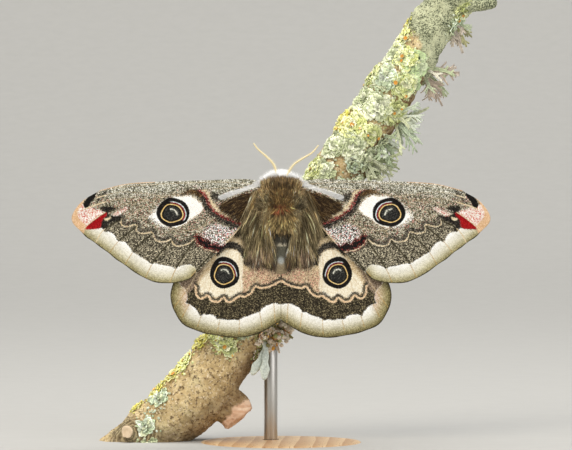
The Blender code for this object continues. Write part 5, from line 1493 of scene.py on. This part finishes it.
# Heights over the body's middle, by distance from the midline, where the brown hair and the white
# hair behind it end, both in mm
BROWN_TOP = [(0, 7.4), (1, 7.1), (2.9, 6.8), (3.7, 5.7), (4.5, 4.9), (5.5, 4.2)]
WHITE_TOP = [(0, 8.35), (1.5, 8.2), (3.0, 7.6), (4.6, 6.7), (6.0, 6.2)]
rng = np.random.default_rng(7)


def even(count, low, high):
    return low + (high - low) * rng.random(count)


def shades(locks):
    """How light each hair is: unlike from lock to lock, and a little from hair to hair. Partly the
    coat's own light and dark streaks, and partly painted light: dark locks paint the shade in the gaps
    between locks, and light ones the highlights on the tufts.
    """
    light = rng.random(locks.max() + 1) < 0.3
    lock_tone = np.where(light, even(len(light), 1.2, 1.9), even(len(light), 0.45, 0.95))
    return (lock_tone[locks] * np.exp(rng.normal(-0.16, 0.6, len(locks))))[:, None]


def wing_front(out, up):
    """Depth, in mm, of the wings' upper side over a spot near the body."""
    past = np.clip(-within(FORE_NEAR, out, up) / 1.6, 0, 1)
    step = HIND_SET_BACK * past * past * (3 - 2 * past)
    return wing_depth(out, up, 0) + step


def over_body(out, up):
    """Depth, in mm, of what hair over a spot lies on: the back, the abdomen or a wing."""
    out = abs(out)
    spots = np.stack([out, out * 0 + THORAX[1] / MM, up + BODY_Z], axis=-1) * MM
    bulge = 1 - (abs(drape.shares(spots)) ** CORE_POWER).sum(-1)
    high = THORAX_CORE[1] / MM * np.clip(bulge, 0, 1) ** (1 / CORE_POWER)
    back = np.where(bulge > 0, THORAX[1] / MM - high, NOTHING)
    line = at_shares(ABDOMEN_LINE, np.linspace(0, 1, 60))
    down = -(up + BODY_Z)
    middle, radius = (np.interp(down, -line[:, 2], line[:, k]) for k in (1, 3))
    high = np.sqrt(np.clip(radius**2 - out**2, 0, None))
    tail = np.where(out < radius, middle - high, NOTHING)
    return np.minimum(np.minimum(back, tail), wing_front(out, up))


def gather(paths, clumps, pull):
    """Draws the hairs' tips together into locks, and gives each hair's lock."""
    leaders = rng.choice(len(paths), clumps, replace=False)
    near = np.empty(len(paths), int)
    for first in range(0, len(paths), 2000):
        part = slice(first, first + 2000)
        apart = paths[part, None, 0] - paths[None, leaders, 0]
        near[part] = np.argmin((apart**2).sum(-1), axis=1)
    lead = paths[leaders[near]]
    share = np.linspace(0, 1, paths.shape[1])[None, :, None] ** 1.3
    shift = lead - paths - (lead[:, :1] - paths[:, :1])
    meet = (lead[:, :1] - paths[:, :1]) * pull
    return paths + (shift * pull + meet) * share, near


def keep_off_wings(paths, lift):
    """Moves points of the hairs that would dip into a wing's root to before or behind it."""
    out, up = abs(paths[..., 0]) / MM, paths[..., 2] / MM - BODY_Z
    front = (wing_front(out, up) - lift) * MM
    back = (wing_depth(out, up, HIND_SET_BACK) + WING_CLEAR + lift) * MM
    before = paths[:, :1, 1] < THORAX[1]
    free = (out < 1.2) | (up > 6.4)
    depth = np.where(before, np.minimum(paths[..., 1], front), np.maximum(paths[..., 1], back))
    paths[..., 1] = np.where(free, paths[..., 1], depth)
    return paths


def comb(core, drape, latitude, around, length, spread, lift, forward=False):
    """Hairs rooted on a core that lie towards the tail, or forward, and lift off to the drape."""
    roots = core.toward(latitude, around)
    across = 0.6 * (roots[:, 0] - core.centre[0]) / core.radii[0] + spread
    ways = np.stack([across, 0 * across, np.full(len(across), 1.0 if forward else -1.0)], axis=1)
    ways /= np.linalg.norm(ways, axis=1, keepdims=True)
    share = np.linspace(0, 1, HAIR_RINGS)[None, :, None]
    ahead = roots[:, None] + ways[:, None] * length[:, None, None] * share
    paths = core.nearest(ahead) * (1 - share) + drape.nearest(ahead) * share
    rise = (-0.12 + (0.12 + lift[:, None, None]) * share**0.7) * MM
    return paths + drape.normal(paths) * rise


def erect(core, latitude, around, top, low, stand):
    """Hairs that stand up off a core, to heights whose upper limit is a line of tops."""
    roots = core.toward(latitude, around)
    out, up = abs(roots[:, 0]) / MM, roots[:, 2] / MM - BODY_Z
    ways = core.normal(roots) * stand[:, None] + rng.normal(0, 0.17, roots.shape)
    ways[:, 2] += 1 - stand * 0.6
    ways /= np.linalg.norm(ways, axis=1, keepdims=True)
    limit = np.interp(out, *np.array(top, float).T) - up
    length = np.minimum(limit / np.clip(ways[:, 2], 0.25, 1), low * 1.9) * even(len(out), 0.66, 1.08)
    share = np.linspace(0, 1, HAIR_RINGS)[None, :, None]
    length = np.maximum(length, 0.7)[:, None, None] * MM
    return roots[:, None] + ways[:, None] * length * (share - 0.06)


def blades(name, paths, widths, tones, places, slot, shape=(1.0, 1.0, 0.8, 0.5)):
    """One mesh of three-sided blades along the paths, each one colour that pales to its tip."""
    count, rings = paths.shape[:2]
    along = np.gradient(paths, axis=1)
    along /= np.linalg.norm(along, axis=-1, keepdims=True) + 1e-12
    away = paths - np.array((0, THORAX[1] + 2 * MM, 0)) * (0, 1, 0)
    away[..., 2] = 0
    across = np.cross(along, away)
    across /= np.linalg.norm(across, axis=-1, keepdims=True) + 1e-12
    over = np.cross(across, along)
    half = widths[:, None, None] / 2 * np.array(shape[: rings - 1])[None, :, None]
    middle, across, over = paths[:, :-1], across[:, :-1] * half, over[:, :-1] * half
    corners = np.stack([middle - across, middle + over * 0.9, middle + across], axis=2)
    spots = np.concatenate([corners.reshape(count, -1, 3), paths[:, -1:]], axis=1)
    each = spots.shape[1]
    sides = []
    for ring in range(rings - 2):
        for j, k in ((0, 1), (1, 2), (2, 0)):
            a, b = ring * 3 + j, ring * 3 + k
            sides += [(a, b, b + 3), (a, b + 3, a + 3)]
    last = (rings - 2) * 3
    sides += [(last + j, last + k, each - 1) for j, k in ((0, 1), (1, 2), (2, 0))]
    sides.append((0, 2, 1))
    faces = np.array(sides)[None] + (np.arange(count) * each)[:, None, None]
    faces = faces.reshape(-1, 3)
    mesh = bpy.data.meshes.new(name)
    mesh.vertices.add(count * each)
    mesh.vertices.foreach_set("co", spots.astype(np.float32).ravel())
    mesh.loops.add(len(faces) * 3)
    mesh.loops.foreach_set("vertex_index", faces.astype(np.int32).ravel())
    mesh.polygons.add(len(faces))
    mesh.polygons.foreach_set("loop_start", np.arange(0, len(faces) * 3, 3, dtype=np.int32))
    mesh.update(calc_edges=True)
    mesh.shade_smooth()
    step = np.array([k // 3 for k in range(each)]) / (rings - 1)
    tint = np.ones((count, each, 4))
    tint[..., :3] = np.minimum(tones[:, None] * (0.72 + 0.5 * step)[None, :, None], 0.92)
    note(mesh, "tone", tint)
    patch = np.stack([np.arange(each) % 3 / 2, step], axis=1) * ATLAS_PATCH
    unwrap = (places[:, None] + patch[None]).reshape(-1, 2)[faces.ravel()]
    mesh.uv_layers.new(name="OFBake").data.foreach_set("uv", unwrap.astype(np.float32).ravel())
    settle(placed(name, mesh), [hair], slot)


# Moth hair: each has its own colour, streaked along by noise of 0.4 mm, with a weak sheen.
hair, tree, shader, place = blank("moth hair", Roughness=0.5, IOR=1.5, Sheen_Weight=0.05)
shader.inputs["Specular IOR Level"].default_value = 0.25
marked = add(tree, "Attribute", attribute_name="tone")
streak = add(tree, "TexNoise", {"Vector": place, "Scale": 2.6 / MM, "Detail": 3.0})
shade = add(tree, "MapRange", {"Value": streak, "To Min": 0.78, "To Max": 1.2})
tinted = add(
    tree, "Mix", {0: 1.0, 6: marked.outputs["Color"], 7: shade}, data_type="RGBA",
    blend_type="MULTIPLY",
)
tree.links.new(tinted.outputs[2], shader.inputs["Base Color"])


chest = Egg(THORAX, THORAX_CORE)
drape = Egg(THORAX, THORAX_CORE, drop=DRAPE_DROP)
skull = Egg(HEAD, HEAD_CORE, 2.0)


def lay(name, out, up, lean, length, lift, tones, widths, slot, clumps, pull=0.5):
    """Hairs that lie over the body and the wings, half of them on each side. They lean from
    straight down as the function `lean` has it, and take the coat's colours if given none."""
    stray, spots = rng.normal(0, 0.1, len(out)), []
    for k in range(HAIR_RINGS):
        rise = (k / (HAIR_RINGS - 1)) ** 0.6 * lift - 0.1
        spots.append(np.stack([out, over_body(out, up) - rise, BODY_Z + up], axis=-1) * MM)
        turn = lean(out, up) + stray
        out = out + np.sin(turn) * length / (HAIR_RINGS - 1)
        up = up - np.cos(turn) * length / (HAIR_RINGS - 1)
    paths = np.stack(spots, axis=1)
    paths[::2, :, 0] *= -1
    paths, locks = gather(paths, clumps, pull)
    if tones is None:
        shade = shades(locks)
        tones = np.minimum(coat_colour(paths[:, 1], rng) * shade, 0.9)
        share = np.linspace(0, 1, HAIR_RINGS)[None] ** 0.5
        paths[..., 1] -= (np.clip(shade, 0.4, 1.6) - 0.4) * share * LIGHT_LIFT
        widths = widths * (0.85 + 0.25 * shade[:, 0])
    blades(name, paths, widths * MM, tones, body_place(paths[:, 0]), slot)


whites = np.array([linear(code)[:3] for code in WHITE_HAIR]) * 1.25


def coat(name, paths, clumps, pull, slot, wide=HAIR_MM, clear=None, at=2):
    """Hair drawn into locks, and kept off the wings where told. It is white, or takes the coat's
    colours at one of each hair's points."""
    paths, locks = gather(paths, clumps, pull)
    if clear is not None:
        paths = keep_off_wings(paths, clear)
    if slot == "white_hair":
        tones = whites[rng.integers(0, len(whites), len(paths))]
    else:
        tones = np.minimum(coat_colour(paths[:, at], rng) * shades(locks), 0.9)
    widths = even(len(paths), *wide) * MM
    blades(name, paths, widths, tones, body_place(paths[:, 0]), slot)


# The sides and the under side of the thorax: long soft hair that lies towards the tail
count = 3200
latitude, around = np.degrees(np.arcsin(even(count, -0.95, 0.8))), even(count, 80, 280)
length, spread = even(count, 1.8, 3.4) * MM, rng.normal(0, 0.2, count)
paths = comb(chest, drape, latitude, around, length, spread, even(count, 0.2, 0.9))
coat("coat_breast", paths, 260, 0.45, "brown_hair", clear=0.2)

# The rear of the back: tan hair that fans out from the middle and ends over the abdomen
count = 6200
out, up = even(count, 0, 3.9), even(count, -3.3, 2.6)
keep = out < 2.5 + 0.9 * np.clip((up + 3.4) / 3, 0, 1)
out, up = out[keep], up[keep]
length = even(len(out), 1.3, 2.3) * (1 - 0.35 * np.clip((-up - 1) / 2.3, 0, 1))
lift, widths = even(len(out), 0.3, 1.1), even(len(out), 0.07, 0.13)


def fan(out, up):
    return np.arctan2(out, np.maximum(1.3 - up, 0.9)) * 0.95


lay("coat_back", out, up, fan, length, lift, None, widths, "brown_hair", 620, 0.4)

# Long hairs that stream from the shoulders down over the roots of the wings and past the abdomen
out, up = even(17000, 1.0, 7.0), even(17000, -9.0, 4.4)
outer = np.interp(up, [-9, -7.6, -4, 0, 4.4], [5.4, 6.5, 6.6, 6.4, 5.2])
inner = np.interp(up, [-9, -7.6, -5, -2, 2, 4.4], [1.0, 1.3, 1.7, 2.2, 2.3, 2.1])
density = (1.2 - 0.22 * (out - 2)) * np.clip((up + 10) / 3.5, 0.3, 1)
keep = (out > inner) & (out < outer) & (rng.random(len(out)) < density)
out, up = out[keep][:7400], up[keep][:7400]
length = even(len(out), 2.2, 5.2) * np.clip(1.25 + up / 14, 0.6, 1.3)
lift, widths = even(len(out), 0.25, 1.0), even(len(out), 0.07, 0.13)


def stream(out, up):
    high = np.clip((up + 5) / 4, 0, 1)
    above = 0.05 + 0.36 * np.clip((out - 2.4) / 2.6, 0, 1)
    below = -0.2 + 0.42 * np.clip((out - 1.8) / 3.6, 0, 1)
    return high * above + (1 - high) * below


lay("coat_streams", out, up, stream, length, lift, None, widths, "brown_hair", 800, 0.4)

# The shoulders: short dark hair that stands up towards the viewer, in two pieces
for name, count, low in (("coat_shoulders", 7400, 1.1), ("coat_nape", 4400, 1.8)):
    near = name == "coat_shoulders"
    latitude = np.degrees(np.arcsin(even(count, 0.0, 0.85))) if near else even(count, 38, 84)
    around = even(count, -100, 100) if near else even(count, -82, 82)
    stand = even(count, 0.45, 0.95) if near else even(count, 0.05, 0.45)
    paths = erect(chest, latitude, around, BROWN_TOP, low, stand)
    coat(name, paths, 420 if near else 260, 0.35, "brown_hair", clear=0.15)

# The collar: white hair behind the shoulders' brown, round the head and out onto the wings
count = 6400
around = np.concatenate([even(count * 2 // 5, -75, 75), even(count - count * 2 // 5, 75, 285)])
latitude = np.where(abs(around) < 75, even(count, 66, 88), even(count, 38, 86))
paths = erect(chest, latitude, around, WHITE_TOP, 2.1, even(count, 0.1, 0.5))
coat("coat_collar", paths, 300, 0.45, "white_hair")

# The head: white hair that lies forward round the eyes
count = 3400
latitude, around = np.degrees(np.arcsin(even(count, -0.6, 1.0))), even(count, -180, 180)
length, spread = even(count, 0.7, 1.2) * MM, rng.normal(0, 0.25, count)
length = length * np.where(abs(around) < 80, 1.5, 1)
paths = comb(skull, skull, latitude, around, length, spread, even(count, 0.05, 0.3), True)
eyes = [HEAD + EYE_OFFSET * (side, 1, 1) for side in (1, -1)]
clear = np.min([np.linalg.norm(paths - eye, axis=-1).min(1) for eye in eyes], axis=0) > EYE_RADIUS
coat("coat_head", paths[clear], 200, 0.4, "white_hair", (0.07, 0.12))

# The abdomen: short hair in rings, which ends in a pale fringe at the rear of each ring
count = 4800
shape = at_shares(ABDOMEN_LINE, np.linspace(0.02, 0.97, 400)) * MM
pick = rng.integers(0, 400, count)
turn = even(count, -math.pi, math.pi)
side = np.stack([np.sin(turn), -np.cos(turn), 0 * turn], axis=1)
length = even(count, 0.7, 1.35) * MM
paths = np.empty((count, HAIR_RINGS, 3))
for k, part in enumerate(np.linspace(0, 1, HAIR_RINGS)):
    down = shape[pick, 2] - length * part
    middle = np.stack([np.interp(-down, -shape[:, 2], shape[:, axis]) for axis in (0, 1, 3)], axis=1)
    rise = (-0.1 + even(count, 0.2, 0.5) * part**0.6) * MM
    paths[:, k, 0] = middle[:, 0] + side[:, 0] * (middle[:, 2] + rise)
    paths[:, k, 1] = middle[:, 1] + side[:, 1] * (middle[:, 2] + rise)
    paths[:, k, 2] = down
coat("coat_abdomen", paths, 520, 0.35, "grey_hair", (0.08, 0.13), at=1)

# Brown hairs that lie outwards on the dark roots of the forewings
out, up = even(7600, 2.8, 10.8), even(7600, -2.2, 4.6)
keep = within(rounded(FORE_AREAS["basal"], 4, True), out, up) > 0.15
out, up = out[keep], up[keep]
browns = np.array([linear(code)[:3] for code in ("2A1C0E", "4A3620", "6B5331", "A4865A")])
tones = browns[np.minimum(rng.exponential(1.5, len(out)).astype(int), 3)]
length, lift = even(len(out), 0.9, 1.9), even(len(out), 0.1, 0.4)
widths = even(len(out), 0.07, 0.13)


def outward(out, up):
    return np.arctan2(out - 0.5, 6.5 - up)


name, slot = "coat_forewing_roots", "brown_hair"
lay(name, out, up, outward, length, lift, tones, widths, slot, 300, 0.4)

# White hairs along the pale streak behind each forewing's front margin
out, up = even(9000, 3.0, 11.2), even(9000, 1.8, 6.4)
edge = rounded(FORE_COSTA, 24)
front = np.interp(out, edge[:, 0], edge[:, 1])
near = within(rounded(FORE_AREAS["streak"], 4, True), out, up) > 0.02
near |= (out < 4.2) & (up > 4.8) & (up < front - 0.35)
out, up = out[near], up[near]
tones = whites[rng.integers(0, len(whites), len(out))]
length, lift = even(len(out), 0.5, 1.1), even(len(out), 0.1, 0.35)
widths = even(len(out), 0.08, 0.14)


def along_streak(out, up):
    return math.radians(96) - 0.5 * np.clip((out - 3) / 6, 0, 1)


name, slot = "coat_wing_fronts", "white_hair"
lay(name, out, up, along_streak, length, lift, tones, widths, slot, 200, 0.3)

# Short bristles on the legs, down to the foot's last joints
BRISTLES = 300
BRISTLED_STEPS = 34
for name, line in leg_paths.items():
    count = BRISTLES
    pick = rng.integers(0, BRISTLED_STEPS, count)
    a, b = line[pick], line[pick + 1]
    along = (b - a)[:, :3] / np.linalg.norm((b - a)[:, :3], axis=1, keepdims=True)
    turn = even(count, 0, 2 * math.pi)
    side = np.cross(along, (0.3, 0.9, 0.1))
    side /= np.linalg.norm(side, axis=1, keepdims=True)
    out = side * np.cos(turn)[:, None] + np.cross(along, side) * np.sin(turn)[:, None]
    roots = a[:, :3] + (b - a)[:, :3] * even(count, 0, 1)[:, None] + out * a[:, 3:] * 0.9
    share = np.linspace(0, 1, HAIR_RINGS)[None, :, None]
    reach = even(count, 0.3, 0.75)[:, None, None] * np.clip(a[:, 3] / 0.5, 0.4, 1.2)[:, None, None]
    paths = roots[:, None] + (along[:, None] * share + out[:, None] * share**0.7 * 0.45) * reach
    tones = browns[rng.integers(1, 4, count)] * 1.3
    places = np.stack([turn / 6.4, (roots[:, 2] - 30) / 30], axis=1)
    blades("coat_" + name, paths * MM, even(count, 0.06, 0.1) * MM, tones, places, "leg_hair")
